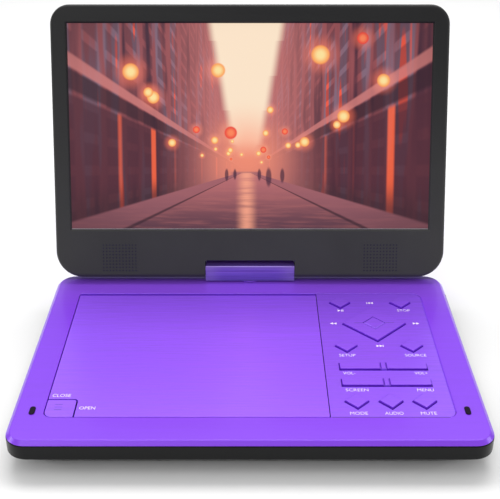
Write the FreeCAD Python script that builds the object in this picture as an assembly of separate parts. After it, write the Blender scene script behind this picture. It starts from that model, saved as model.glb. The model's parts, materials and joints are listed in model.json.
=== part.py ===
"""Portable disc player: a clamshell with a wide screen on a swivel hinge.

Millimetres. +X is the user's right, +Y points away from the user and +Z is up.
The origin is under the centre of the whole object, at the height of the feet's undersides,
with the screen opened 110 degrees.  Inside this file Y is counted from the base's front edge,
and save() moves each piece to the final origin.  Screen pieces are drawn in the lid's own
frame: X across, Y from the viewer towards the lid's back, Z up the lid, with the tilt axis
at its origin.
"""
import FreeCAD, Part
import math
import os

V = FreeCAD.Vector

# --- base case ---
BASE_W = 265.0
BASE_D = 181.0
CORNER_R = 12.0
DECK_Z = 22.0            # top of the deck above the table
BEVEL = 2.4              # 45 degree bevel round the deck
SIDE_Z = 10.8            # where the upright side turns into the undercut
UNDERCUT = 10.0
UNDERSIDE_R = 20.0
FOOT_H = 1.5
WALL = 2.0
PARTING_Z = DECK_Z - BEVEL
FLOOR_Z = FOOT_H + WALL
DECK_UNDER = DECK_Z - WALL

# --- the opening in the deck, shared by the disc door and the button panel ---
OPEN_X = 114.5
OPEN_FRONT = 22.0
OPEN_BACK = 155.2
DIVIDER_X = 44.4
GROOVE = 0.5             # gap beside the disc door
DIVIDER_GAP = 0.3        # from the divider to the door; the panel keeps its own gap
PANEL_GAP = 0.2
DOOR_TOP = DECK_Z - 0.2
DOOR_UNDER = DOOR_TOP - 1.9
PANEL_TOP = DECK_Z - 0.3
PANEL_UNDER = PANEL_TOP - 2.0
BUTTON_X = -97.6         # right edge of the open button
BUTTON_BACK = 38.2

# --- disc drive, for a standard 120 mm disc ---
DISC_R = 60.0
DISC_X = (DIVIDER_X - OPEN_X) / 2
DISC_Y = (OPEN_FRONT + OPEN_BACK) / 2
WELL_R = DISC_R + 2.0
WELL_Z = 15.0
WELL_LEDGE_Z = 19.2
WELL_SKIN = 1.2
SEAT_Z = 17.2            # where the disc rests on the turntable
HINGE_Y = OPEN_BACK - 0.8 - 2.2
HINGE_R = 2.2
HINGE_Z = DOOR_TOP - HINGE_R
HINGE_PIN_R = 0.9
RUN_GAP = 0.05           # radial clearance of every running fit
FRAME_Z = 5.0
FRAME_T = 1.0
RAIL_R = 1.0
RAIL_Z = 9.6
RAIL_LEFT = DISC_X - 20.0
RAIL_RIGHT = DISC_X + 20.0
SCREW_X = DISC_X + 31.0
SCREW_R = 1.5
SLED_FRONT = 54.0
SLED_BACK = 72.0
LENS_Y = 62.0
SLED_TRAVEL = 31.0

# --- keys: each is a square turned 45 degrees, sized by half its diagonal ---
KEY_HALF = 7.0
KEY_TOP = DECK_Z + 0.8
ENTER_RISE = 0.25
KEY_GAP = 0.35
KEY_BEVEL = 0.5
FLANGE_Z = 18.7
STEM_R = 2.0
STEM_Z = 17.7
DOME_TOP = 17.0
BOARD_Z = 14.0
NAV_X = 79.3
NAV_Y = 117.2
NAV_HALF = 20.3
NAV_BOTTOM = 19.2
NAV_DOME_R = 15.0
ROCKER_L = 52.0
ROCKER_W = 7.0
ROCKER_R = 1.2
KEYS = {
    "play_key": (59.5, 143.0),
    "stop_key": (99.3, 143.0),
    "setup_key": (59.3, 92.1),
    "source_key": (99.6, 92.1),
    "mode_key": (60.3, 36.2),
    "audio_key": (79.6, 36.2),
    "mute_key": (98.6, 36.2),
}
ROCKERS = {
    "volume_rocker": (79.3, 70.3),
    "menu_rocker": (79.3, 54.2),
}

# --- side sockets, by distance from the front edge ---
PORT_Z = 15.6
SWITCH_Y = 40.0
HEADPHONE_Y = 60.0
AV_Y = 74.0
USB_Y = 106.0
CARD_Y = 134.0
DC_Y = 157.0
LIGHT_YS = (24.0, 29.0)
LIGHT_R = 1.1
JACK_R = 1.8
NOSE_HALF = 3.1
DC_R = 2.8

# --- swivel hinge ---
PIVOT_Y = 175.8
PIVOT_Z = DECK_Z + 7.0
BRACKET_W = 61.0
BRACKET_HALF = 5.2
HUB_R = 6.4
STEM_HUB_R = 2.4
BUSH_R = 3.1
SHAFT_R = 1.8
SHAFT_END = 47.0
CABLE_R = 0.8
CABLE_BORE = 1.1

# --- lid ---
LID_T = 12.0
LID_TOP = 178.0
LID_BOTTOM = -4.5
LID_TOP_R = 13.0
LID_BOTTOM_R = 18.0
LID_EDGE_R = 2.6
LID_WALL = 1.6
LID_SPLIT = 2.5          # where the front bezel meets the back cover
NOTCH_X = 30.6
NOTCH_TOP = 7.1
SCREEN_X = 121.3
SCREEN_LOW = 28.6
SCREEN_HIGH = 165.8
LEAN = 20.1              # how far past upright the lid leans as drawn
GRILLE_X = 89.0
GRILLE_W = 24.0
GRILLE_H = 20.0
GRILLE_S = 9.0

# The lid's back top edge is the object's rearmost point; the base's front edge is the foremost.
LEAN_RAD = math.radians(LEAN)
LID_REACH = ((LID_TOP - LID_EDGE_R) * math.sin(LEAN_RAD)
             + (LID_T / 2 - LID_EDGE_R) * math.cos(LEAN_RAD) + LID_EDGE_R)
Y_CENTRE = (PIVOT_Y + LID_REACH) / 2


# ---------------------------------------------------------------- helpers
def box(x0, x1, y0, y1, z0, z1):
    return Part.makeBox(x1 - x0, y1 - y0, z1 - z0, V(x0, y0, z0))


def post(x, y, r, z0, z1):
    """A round post or bore along Z."""
    return Part.makeCylinder(r, z1 - z0, V(x, y, z0), V(0, 0, 1))


def rod_x(x0, x1, y, z, r):
    return Part.makeCylinder(r, x1 - x0, V(x0, y, z), V(1, 0, 0))


def rod_y(x, y0, y1, z, r):
    return Part.makeCylinder(r, y1 - y0, V(x, y0, z), V(0, 1, 0))


def rounded_wire(x0, x1, y0, y1, z, radii):
    """Rectangle with one radius per corner: front left, front right, back right, back left."""
    corners = [(x0, y0, 180), (x1, y0, 270), (x1, y1, 0), (x0, y1, 90)]
    edges = []
    ends = []
    for (cx, cy, start), r in zip(corners, radii):
        mx = cx + (r if cx == x0 else -r)
        my = cy + (r if cy == y0 else -r)
        arc = Part.ArcOfCircle(Part.Circle(V(mx, my, z), V(0, 0, 1), r),
                               math.radians(start), math.radians(start + 90))
        ends.append((arc.StartPoint, arc.EndPoint))
        edges.append(arc.toShape())
    sides = [Part.LineSegment(ends[i][1], ends[(i + 1) % 4][0]).toShape() for i in range(4)]
    return Part.Wire([edge for pair in zip(edges, sides) for edge in pair])


def rounded_prism(x0, x1, y0, y1, z0, z1, radii):
    face = Part.Face(rounded_wire(x0, x1, y0, y1, z0, radii))
    return face.extrude(V(0, 0, z1 - z0))


def base_wire(inset, z, radius):
    half = BASE_W / 2 - inset
    return rounded_wire(-half, half, inset, BASE_D - inset, z, [radius] * 4)


def base_loft(low, high):
    """Solid between two base outlines, each given as (inset, z, radius)."""
    return Part.makeLoft([base_wire(*low), base_wire(*high)], True, True)


def diamond(x, y, half, z0, z1, bevel=0.0):
    """A square prism turned 45 degrees, with an optional bevel round its top."""
    def wire(size, z):
        corners = [V(x, y - size, z), V(x + size, y, z), V(x, y + size, z), V(x - size, y, z)]
        return Part.makePolygon(corners + corners[:1])
    body = Part.Face(wire(half, z0)).extrude(V(0, 0, z1 - bevel - z0))
    if bevel:
        body = body.fuse(Part.makeLoft([wire(half, z1 - bevel), wire(half - 1.4 * bevel, z1)], True, True))
    return body


def union(shapes):
    return shapes[0].fuse(shapes[1:]).removeSplitter()


def save(name, shape):
    placed = shape.copy()
    placed.translate(V(0, -Y_CENTRE, 0))
    placed.exportStep("parts/%s.step" % name)


def save_lid(name, shape):
    """Lean a piece drawn in the lid's frame and put it on the tilt axis."""
    placed = shape.copy()
    placed.rotate(V(0, 0, 0), V(1, 0, 0), -LEAN)
    placed.translate(V(0, PIVOT_Y, PIVOT_Z))
    save(name, placed)


# ---------------------------------------------------------------- case
BOSSES = [(side * 118.0, y) for side in (-1, 1) for y in (14.0, 90.0, 166.0)]


def lower_case():
    outer = base_loft((UNDERCUT, FOOT_H, UNDERSIDE_R), (0, SIDE_Z, CORNER_R))
    outer = outer.fuse(base_loft((0, SIDE_Z, CORNER_R), (0, PARTING_Z - 0.3, CORNER_R)))
    inner = base_loft((UNDERCUT + 0.8, FLOOR_Z, UNDERSIDE_R - 1), (WALL, SIDE_Z, CORNER_R - WALL))
    inner = inner.fuse(base_loft((WALL, SIDE_Z, CORNER_R - WALL), (WALL, PARTING_Z, CORNER_R - WALL)))
    case = outer.cut(inner)
    posts = [post(x, y, 3.2, FLOOR_Z - 0.5, 12.0) for x, y in BOSSES]
    posts += [post(x, y, 3.0, FLOOR_Z - 0.5, BOARD_Z) for x in (52.0, 107.0) for y in (30.0, 88.0, 144.0)]
    posts += [post(x, y, 2.6, FLOOR_Z - 0.5, 5.5) for x in (60.0, 108.0) for y in (24.0, 166.0)]
    case = union([case] + posts)
    cuts = [post(x, y, 1.6, 0, 13) for x, y in BOSSES]
    cuts += [post(x, y, 2.8, 0, 5.0) for x, y in BOSSES]
    # vent slots under the drive
    cuts += [box(-60, -10, 60 + 6 * i, 62 + 6 * i, 0, FLOOR_Z + 1) for i in range(6)]
    cuts += side_cutouts()
    return case.cut(cuts)


def side_cutouts():
    """Windows in the right-hand wall for the switch and the sockets."""
    x0, x1 = BASE_W / 2 - WALL - 1, BASE_W / 2 + 1
    cuts = [box(x0, x1, SWITCH_Y - 6, SWITCH_Y + 6, PORT_Z - 2.2, PORT_Z + 2.2)]
    # the audio sockets sit in notches, so that their board can drop in from the top
    cuts += [box(x0, x1, y - NOSE_HALF - 0.1, y + NOSE_HALF + 0.1, PORT_Z - NOSE_HALF - 0.1, PARTING_Z)
             for y in (HEADPHONE_Y, AV_Y)]
    cuts.append(box(x0, x1, USB_Y - 6.8, USB_Y + 6.8, PORT_Z - 3.1, PORT_Z + 3.1))
    cuts.append(box(x0, x1, CARD_Y - 12.6, CARD_Y + 12.6, PORT_Z - 1.4, PORT_Z + 1.4))
    cuts.append(rod_x(x0, x1, DC_Y, PORT_Z, 3.6))
    cuts += [rod_x(x0, x1, y, PORT_Z, LIGHT_R) for y in LIGHT_YS]
    return cuts


def upper_case():
    deck = base_loft((0, PARTING_Z, CORNER_R), (BEVEL, DECK_Z, CORNER_R - BEVEL))
    lip_outer = base_loft((WALL + 0.1, PARTING_Z - 1.8, 9.9), (WALL + 0.1, PARTING_Z, 9.9))
    hollow = base_loft((WALL + 1.4, PARTING_Z - 2, 8.6), (WALL + 1.4, DECK_UNDER, 8.6))
    deck = deck.fuse(lip_outer).cut(hollow)
    lugs = [box(-120.5, -OPEN_X - 0.4, HINGE_Y - 3, HINGE_Y + 3, 16.9, DECK_UNDER + 0.5),
            box(DIVIDER_X + 0.6, DIVIDER_X + 5.6, HINGE_Y - 2.4, HINGE_Y + 4.5, 17.2, PANEL_UNDER)]
    bar = box(DIVIDER_X + 0.6, DIVIDER_X + 5.6, OPEN_BACK, OPEN_BACK + 6, 17.2, DECK_UNDER + 0.5)
    posts = [post(x, y, 3.0, 12.0, DECK_UNDER + 0.5) for x, y in BOSSES]
    deck = union([deck] + posts)
    deck = deck.cut(rounded_prism(-OPEN_X, OPEN_X, OPEN_FRONT, OPEN_BACK, 10, 30, (5, 5.5, 6, 2.5)))
    deck = union([deck, bar] + lugs)
    cuts = [post(x, y, 1.2, 11.5, 18) for x, y in BOSSES]
    cuts.append(post(0, PIVOT_Y, BUSH_R, 10, 30))
    cuts.append(box(-7, 7, PIVOT_Y - 2, BASE_D - WALL - 0.05, 10, PARTING_Z))
    cuts.append(rod_x(-121, DIVIDER_X + 6, HINGE_Y, HINGE_Z, HINGE_PIN_R))
    cuts += [box(side * 121 - 1.2, side * 121 + 1.2, 26.2, 29, DECK_UNDER - 1, 30) for side in (-1, 1)]
    # the lip is left out beside the sockets
    wall = BASE_W / 2 - WALL
    cuts.append(box(wall - 2, wall + 0.05, SWITCH_Y - 8, DC_Y + 6, 10, PARTING_Z))
    return deck.cut(cuts)


def button_panel():
    left = DIVIDER_X + PANEL_GAP
    plate = rounded_prism(left, OPEN_X - PANEL_GAP, OPEN_FRONT + PANEL_GAP, OPEN_BACK - PANEL_GAP,
                          PANEL_UNDER, PANEL_TOP, (0.4, 5.3, 5.8, 0.4))
    flange = box(DIVIDER_X + 7, OPEN_X + 2, OPEN_FRONT - 2.5, OPEN_BACK + 2.5, PANEL_UNDER - 0.9, DECK_UNDER)
    window = rounded_prism(left + 2, OPEN_X - 2.2, OPEN_FRONT + 2.2, OPEN_BACK - 2.2, 10, PANEL_UNDER,
                           (1, 4, 4, 1))
    above = rounded_prism(left - 1, OPEN_X + 0.05, OPEN_FRONT - 0.05, OPEN_BACK + 0.05, PANEL_UNDER, 30,
                          (0.4, 5.5, 6, 0.4))
    ledge = flange.cut(window)
    ledge = ledge.cut(above.cut(plate))
    ribs = [post(x, y, 1.8, BOARD_Z + 2.0, PANEL_UNDER + 0.5) for x in (50.5, 108.0)
            for y in (104.0, 130.0)]
    panel = union([plate, ledge] + ribs)
    cuts = [diamond(x, y, KEY_HALF + KEY_GAP, 10, 30) for x, y in KEYS.values()]
    cuts.append(diamond(NAV_X, NAV_Y, NAV_HALF + 0.4, 10, 30))
    for x, y in ROCKERS.values():
        cuts.append(box(x - ROCKER_L / 2 - 0.3, x + ROCKER_L / 2 + 0.3, y - ROCKER_W / 2 - 0.3,
                        y + ROCKER_W / 2 + 0.3, 10, 30))
    # room under the plate for the key flanges, the door's right-hand pin and the case bosses
    cuts += [diamond(x, y, KEY_HALF + 1.6, 10, PANEL_UNDER) for x, y in KEYS.values()]
    cuts.append(box(DIVIDER_X, DIVIDER_X + 7, HINGE_Y - 3, OPEN_BACK + 3, 10, PANEL_UNDER))
    cuts.append(rod_x(DIVIDER_X, DIVIDER_X + 6, HINGE_Y, HINGE_Z, HINGE_PIN_R + 0.1))
    cuts += [post(x, y, 3.3, 10, PANEL_UNDER + 0.3) for x, y in BOSSES]
    return panel.cut(cuts)


def feet():
    return Part.Compound([post(x, y, 6.0, 0, FOOT_H) for x in (-104, 104) for y in (26, 158)])


def case_screws():
    screws = []
    for x, y in BOSSES:
        head = post(x, y, 2.5, 3.0, 5.0).cut(box(x - 1.6, x + 1.6, y - 0.35, y + 0.35, 2.5, 3.8))
        head = head.cut(box(x - 0.35, x + 0.35, y - 1.6, y + 1.6, 2.5, 3.8))
        screws.append(head.fuse(post(x, y, 1.2, 5.0, 17.0)))
    return Part.Compound(screws)


def bumpers():
    pads = []
    for side in (-1, 1):
        x = side * 121.0
        pad = rounded_prism(x - 1.6, x + 1.6, 24.0, 31.1, DECK_Z, DECK_Z + 0.6, [1.59] * 4)
        pads.append(pad.fuse(box(x - 1.2, x + 1.2, 26.2, 29, DECK_UNDER, DECK_Z)))
    return Part.Compound(pads)


# ---------------------------------------------------------------- disc drive
def disc_well():
    left, right = -OPEN_X - 1.5, DIVIDER_X - 0.2
    front, back = OPEN_FRONT - 1.5, OPEN_BACK + 1.5
    under = WELL_Z - WELL_SKIN
    tray = box(left, right, front, back, under, WELL_LEDGE_Z)
    hollow = box(left + 1.5, right - 1.5, front + 1.5, HINGE_Y - 4.9, under - 1, WELL_LEDGE_Z - 1.5)
    hollow = hollow.cut(post(DISC_X, DISC_Y, WELL_R + 1.5, 0, 30))
    cuts = [hollow, post(DISC_X, DISC_Y, WELL_R, WELL_Z, 30)]
    # barrel troughs of the door hinge, clear of the disc
    for x0, x1 in ((left - 1, -99.0), (29.0, right + 1)):
        cuts.append(box(x0, x1, HINGE_Y - 3, back + 1, 16.6, 30))
    # room for the middle of the door's rear edge, the spindle and the pickup's path
    cuts.append(box(left - 1, right + 1, HINGE_Y - 3.4, back + 1, HINGE_Z - HINGE_R - 0.3, 30))
    cuts.append(post(DISC_X, DISC_Y, 13.5, 0, 30))
    cuts.append(box(DISC_X - 14, DISC_X + 14, 27.5, DISC_Y - 6, 0, WELL_Z + 0.1))
    # open button's pocket and stem guide, and the latch hook's slot
    cuts.append(box(left - 1, BUTTON_X + 0.4, front - 1, BUTTON_BACK + 0.4, WELL_LEDGE_Z - 1.4, 30))
    cuts.append(box(-110.2, -101.8, 25.8, 34.2, 0, 30))
    cuts.append(box(-97.0, -91.0, 25.0, 35.0, 0, 30))
    cuts += [post(x, y, 3.3, 10, 30) for x, y in BOSSES]
    # finger scoops at two sides of the disc
    cuts += [post(DISC_X + side * WELL_R, DISC_Y, 9.0, WELL_Z, 30) for side in (-1, 1)]
    return tray.cut(cuts)


def disc_door():
    left, right = -OPEN_X + GROOVE, DIVIDER_X - DIVIDER_GAP
    front = OPEN_FRONT + 0.5
    plate = rounded_prism(left, right, front, HINGE_Y + 0.2, DOOR_UNDER, DOOR_TOP, (2, 0.8, 0.4, 0.4))
    rear = rod_x(left, right, HINGE_Y, HINGE_Z, HINGE_R)
    middle = rear.common(box(left, right, HINGE_Y - 4, HINGE_Y + 4, DOOR_UNDER, 30))
    knuckles = [rod_x(x0, x1, HINGE_Y, HINGE_Z, HINGE_R) for x0, x1 in ((left, -100.0), (30.0, right))]
    door = union([plate, middle] + knuckles)
    # stiffening ribs outside the disc's circle
    ribs = [box(x, x + 1.2, 60, 115, DOOR_UNDER - 0.4, DOOR_UNDER + 0.2) for x in (left + 2, right - 3.2)]
    door = union([door] + ribs)
    cuts = [rod_x(left - 1, -105.0, HINGE_Y, HINGE_Z, HINGE_PIN_R + RUN_GAP),
            rod_x(35.0, right + 1, HINGE_Y, HINGE_Z, HINGE_PIN_R + RUN_GAP),
            rounded_prism(left - 5, BUTTON_X + 0.5, front - 5, BUTTON_BACK + 0.5, 10, 30, (1, 1, 2, 1))]
    return door.cut(cuts)


def door_pins():
    return Part.Compound([rod_x(-119.5, -105.5, HINGE_Y, HINGE_Z, HINGE_PIN_R),
                          rod_x(35.5, DIVIDER_X + 5.0, HINGE_Y, HINGE_Z, HINGE_PIN_R)])


def latch_hook():
    arm = box(-95.4, -92.6, 27.0, 32.6, 15.6, DOOR_UNDER)
    return arm.fuse(box(-95.4, -92.6, 25.8, 27.0, 15.6, 16.8)).removeSplitter()


def door_catch():
    leaf = box(-96.6, -91.4, 33.2, 33.6, 14.2, 18.4)
    return leaf.fuse(box(-96.6, -91.4, 33.6, 35.0, 14.2, 15.4)).removeSplitter()


def open_button():
    cap = rounded_prism(-OPEN_X + 0.4, BUTTON_X - 0.3, OPEN_FRONT + 0.4, BUTTON_BACK - 0.3,
                        DOOR_UNDER, DOOR_TOP, (4.6, 0.8, 1.8, 0.8))
    return cap.fuse(box(-110, -102, 26, 34, 14.6, DOOR_UNDER)).removeSplitter()


def spindle_motor():
    can = post(DISC_X, DISC_Y, 12.0, FRAME_Z + FRAME_T, 12.0)
    return can.cut(post(DISC_X, DISC_Y, 1.0 + RUN_GAP, 7.0, 13))


def turntable():
    seat = post(DISC_X, DISC_Y, 12.6, 16.0, SEAT_Z)
    sleeve = post(DISC_X, DISC_Y, 4.0, 12.6, 16.0)
    hub = post(DISC_X, DISC_Y, 7.4, SEAT_Z, 19.0)
    cone = Part.makeCone(7.4, 6.6, 0.5, V(DISC_X, DISC_Y, 19.0), V(0, 0, 1))
    shaft = post(DISC_X, DISC_Y, 1.0, 7.2, 12.6)
    balls = []
    for i in range(3):
        a = math.radians(90 + 120 * i)
        balls.append(Part.makeSphere(0.9, V(DISC_X + 6.9 * math.cos(a), DISC_Y + 6.9 * math.sin(a), 18.6)))
    return union([seat, sleeve, hub, cone, shaft] + balls)


def loader_frame():
    top = FRAME_Z + FRAME_T
    plate = rounded_prism(-76, 12, 14, 116, FRAME_Z, top, [4] * 4)
    plate = plate.cut(rounded_prism(-64, -8, 20, 74, FRAME_Z - 1, top + 1, [3] * 4))
    lugs = [box(x - 2.4, x + 2.4, y, y + 3, top - 0.5, 11.4) for x in (RAIL_LEFT, RAIL_RIGHT)
            for y in (16.0, 75.0)]
    lugs.append(box(SCREW_X - 2.4, SCREW_X + 2.4, 16, 19, top - 0.5, 11.4))
    frame = union([plate] + lugs)
    cuts = [rod_y(x, 17, 77, RAIL_Z, RAIL_R) for x in (RAIL_LEFT, RAIL_RIGHT)]
    cuts.append(rod_y(SCREW_X, 15, 20, RAIL_Z, 1.0 + RUN_GAP))
    return frame.cut(cuts)


def guide_rails():
    return Part.Compound([rod_y(x, 17, 77, RAIL_Z, RAIL_R) for x in (RAIL_LEFT, RAIL_RIGHT)])


def feed_motor():
    can = rod_y(SCREW_X, 75.5, 92, RAIL_Z, 3.5)
    can = can.fuse(box(SCREW_X - 3, SCREW_X + 3, 78, 90, FRAME_Z + FRAME_T, RAIL_Z - 3))
    return can.removeSplitter().cut(rod_y(SCREW_X, 75, 80, RAIL_Z, 1.0 + RUN_GAP))


def lead_screw():
    worm = rod_y(SCREW_X, 19.8, 74.8, RAIL_Z, SCREW_R)
    journals = [rod_y(SCREW_X, 16.4, 19.8, RAIL_Z, 1.0), rod_y(SCREW_X, 74.8, 79.5, RAIL_Z, 1.0)]
    return union([worm] + journals)


def pickup_sled():
    body = box(RAIL_LEFT + 4, RAIL_RIGHT - 4, SLED_FRONT, SLED_BACK, 7.4, 12.4)
    left = box(RAIL_LEFT - 3, RAIL_LEFT + 4, SLED_FRONT, SLED_BACK, 7.4, 12.0)
    right = box(RAIL_RIGHT - 4, RAIL_RIGHT + 2.4, SLED_FRONT + 3, SLED_BACK - 3, 7.4, 12.0)
    bridge = box(RAIL_RIGHT + 2.4, SCREW_X + 3.2, 59, 67, 11.3, 12.3)
    nut = box(SCREW_X - 3.2, SCREW_X + 3.2, 59, 67, 7.6, 11.3)
    turret = post(DISC_X, LENS_Y, 6.0, 12.4, 13.6)
    sled = union([body, left, right, bridge, nut, turret])
    cuts = [rod_y(RAIL_LEFT, 50, 80, RAIL_Z, RAIL_R + RUN_GAP),
            rod_y(SCREW_X, 50, 80, RAIL_Z, SCREW_R + RUN_GAP),
            box(RAIL_RIGHT - 1.5, RAIL_RIGHT + 3, 50, 80, RAIL_Z - 1.1, RAIL_Z + 1.1),
            post(DISC_X, LENS_Y, 2.4, 12.0, 14)]
    return sled.cut(cuts)


def objective_lens():
    barrel = post(DISC_X, LENS_Y, 2.4, 12.0, 13.9)
    cap = Part.makeSphere(3.4, V(DISC_X, LENS_Y, 11.5)).common(post(DISC_X, LENS_Y, 2.4, 13.9, 15))
    return barrel.fuse(cap).removeSplitter()


def loader_dampers():
    return Part.Compound([post(x, y, 3.4, FLOOR_Z, FRAME_Z) for x in (-72, 8) for y in (18, 112)])


# ---------------------------------------------------------------- boards, battery, sockets
def main_board():
    board = box(48, 113, 20, 170, 5.5, 7.0).fuse(box(-10, 48, 160, 170, 5.5, 7.0))
    chips = [(60, 75, 60, 75, 1.6), (80, 92, 62, 74, 1.4), (58, 66, 100, 112, 1.2), (84, 98, 110, 118, 1.2),
             (64, 72, 130, 136, 2.6), (88, 94, 134, 140, 4.0), (10, 20, 161, 169, 2.0)]
    board = union([board] + [box(x0, x1, y0, y1, 6.8, 7.0 + h) for x0, x1, y0, y1, h in chips])
    return board.cut([post(x, y, 3.3, 0, 10) for x in (52.0, 107.0) for y in (30.0, 88.0, 144.0)])


def battery_pack():
    cells = [rounded_prism(x, x + 30, 157.4, 171.4, 4.6, 15.6, [3] * 4) for x in (-108, -77, -46)]
    return Part.Compound(cells)


def key_board():
    board = box(48, 111, 26, 148, BOARD_Z, BOARD_Z + 1.2)
    return board.cut(post(79.3, 86.0, 2.0, 10, 20))


def key_domes():
    top = BOARD_Z + 2.0
    sheet = box(49, 110, 27, 147, BOARD_Z + 1.2, top)
    domes = [post(x, y, 3.0, top, DOME_TOP) for x, y in KEYS.values()]
    domes.append(post(NAV_X, NAV_Y, 3.0, top, DOME_TOP))
    for dx, dy in ((1, 0), (-1, 0), (0, 1), (0, -1)):
        domes.append(post(NAV_X + NAV_DOME_R * dx, NAV_Y + NAV_DOME_R * dy, 1.8, top, DOME_TOP))
    for x, y in ROCKERS.values():
        domes += [post(x + side * 20, y, 2.2, top, DOME_TOP) for side in (-1, 1)]
    return union([sheet] + domes)


def audio_jack(y):
    wall = BASE_W / 2 - WALL
    shell = box(wall - 12, wall, y - 3.6, y + 3.6, PORT_Z - 3.4, PORT_Z + 3.4)
    nose = box(wall, BASE_W / 2 - 0.2, y - NOSE_HALF, y + NOSE_HALF, PORT_Z - NOSE_HALF, PARTING_Z - 0.4)
    return shell.fuse(nose).removeSplitter().cut(rod_x(wall - 11, wall + 4, y, PORT_Z, JACK_R))


def usb_port():
    wall = BASE_W / 2 - WALL
    shell = box(wall - 10, wall + 1.6, USB_Y - 6.6, USB_Y + 6.6, PORT_Z - 2.9, PORT_Z + 2.9)
    shell = shell.cut(box(wall - 9, wall + 4, USB_Y - 6.25, USB_Y + 6.25, PORT_Z - 2.55, PORT_Z + 2.55))
    tongue = box(wall - 9.2, wall + 0.6, USB_Y - 5.5, USB_Y + 5.5, PORT_Z + 0.2, PORT_Z + 2.0)
    return shell.fuse(tongue)


def card_slot():
    wall = BASE_W / 2 - WALL
    shell = box(wall - 14, wall + 1.6, CARD_Y - 12.4, CARD_Y + 12.4, PORT_Z - 1.3, PORT_Z + 1.3)
    shell = shell.fuse(box(wall - 14, wall, CARD_Y - 13.6, CARD_Y + 13.6, PORT_Z - 2.0, PORT_Z + 2.0))
    return shell.removeSplitter().cut(box(wall - 13, wall + 4, CARD_Y - 12.1, CARD_Y + 12.1, PORT_Z - 1.1,
                                         PORT_Z + 1.1))


def dc_jack():
    wall = BASE_W / 2 - WALL
    shell = box(wall - 12, wall, DC_Y - 4.2, DC_Y + 4.2, PORT_Z - 3.8, PORT_Z + 3.8)
    collar = rod_x(wall, BASE_W / 2 - 0.2, DC_Y, PORT_Z, 3.5)
    shell = shell.fuse(collar).removeSplitter().cut(rod_x(wall - 10, wall + 4, DC_Y, PORT_Z, DC_R))
    return shell.fuse(rod_x(wall - 10, wall - 1.5, DC_Y, PORT_Z, 0.65)).removeSplitter()


def power_switch():
    wall = BASE_W / 2 - WALL
    knob = box(wall - 0.2, BASE_W / 2 - 0.1, SWITCH_Y - 5, SWITCH_Y + 1, PORT_Z - 1.9, PORT_Z + 1.9)
    tail = box(wall - 3.0, wall - 0.2, SWITCH_Y - 5.5, SWITCH_Y + 1.5, PORT_Z - 2.6, PORT_Z + 2.6)
    cuts = [box(BASE_W / 2 - 0.6, BASE_W / 2, SWITCH_Y - 4.3 + 1.4 * i, SWITCH_Y - 3.7 + 1.4 * i,
                PORT_Z - 2, PORT_Z + 2) for i in range(4)]
    return knob.fuse(tail).removeSplitter().cut(cuts)


def status_lights():
    wall = BASE_W / 2 - WALL
    return Part.Compound([rod_x(wall - 3, BASE_W / 2 - 0.05, y, PORT_Z, LIGHT_R) for y in LIGHT_YS])


# ---------------------------------------------------------------- keys
def key(x, y):
    cap = diamond(x, y, KEY_HALF, FLANGE_Z, KEY_TOP, KEY_BEVEL)
    flange = diamond(x, y, KEY_HALF + 1.2, FLANGE_Z, FLANGE_Z + 0.6)
    return union([cap, flange, post(x, y, STEM_R, STEM_Z, FLANGE_Z + 0.2)])


def enter_key():
    cap = diamond(NAV_X, NAV_Y, KEY_HALF, 18.0, KEY_TOP + ENTER_RISE, KEY_BEVEL)
    flange = diamond(NAV_X, NAV_Y, KEY_HALF + 1.1, 18.0, 18.5)
    return union([cap, flange, post(NAV_X, NAV_Y, STEM_R, STEM_Z, 18.2)])


def nav_pad():
    pad = diamond(NAV_X, NAV_Y, NAV_HALF, NAV_BOTTOM, KEY_TOP, KEY_BEVEL)
    return pad.cut(diamond(NAV_X, NAV_Y, KEY_HALF + 0.45, 10, 30))


def nav_rubber_pad():
    return post(NAV_X, NAV_Y, 12.0, 17.2, 18.6).cut(post(NAV_X, NAV_Y, 9.2, 10, 30))


def rocker(x, y):
    half_l, half_w = ROCKER_L / 2, ROCKER_W / 2

    def wire(inset, z):
        return rounded_wire(x - half_l + inset, x + half_l - inset, y - half_w + inset, y + half_w - inset,
                            z, [ROCKER_R - inset] * 4)
    bar = Part.Face(wire(0, NAV_BOTTOM)).extrude(V(0, 0, KEY_TOP - KEY_BEVEL - NAV_BOTTOM))
    top = Part.makeLoft([wire(0, KEY_TOP - KEY_BEVEL), wire(KEY_BEVEL, KEY_TOP)], True, True)
    fulcrum = box(x - 1.5, x + 1.5, y - 2, y + 2, 16.6, NAV_BOTTOM)
    return union([bar, top, fulcrum])


# ---------------------------------------------------------------- swivel hinge
def bracket_section(x0, x1, wall):
    """The bracket's outer block, or with a wall its hollow, in place on the pivot."""
    low, high = -6.1 + wall, 5.0 - wall
    side, shoulder, crown = BRACKET_HALF - wall, 2.6 - wall * 0.4, 4.2 - wall
    points = [(-side, low), (side, low), (side, shoulder), (crown, high), (-crown, high), (-side, shoulder)]
    corners = [V(x0, PIVOT_Y + y, PIVOT_Z + z) for y, z in points]
    return Part.Face(Part.makePolygon(corners + corners[:1])).extrude(V(x1 - x0, 0, 0))


def hinge_cover(front):
    half = BRACKET_W / 2
    shell = bracket_section(-half, half, 0).cut(bracket_section(-half + 1.6, half - 1.6, 1.4))
    y0, y1 = (PIVOT_Y - 10, PIVOT_Y) if front else (PIVOT_Y, PIVOT_Y + 10)
    shell = shell.common(box(-half, half, y0, y1, DECK_Z, PIVOT_Z + 8))
    cuts = [rod_x(-half - 1, half + 1, PIVOT_Y, PIVOT_Z, SHAFT_R),
            post(0, PIVOT_Y, 3.2, DECK_Z, PIVOT_Z - 4)]
    return shell.cut(cuts)


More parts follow.
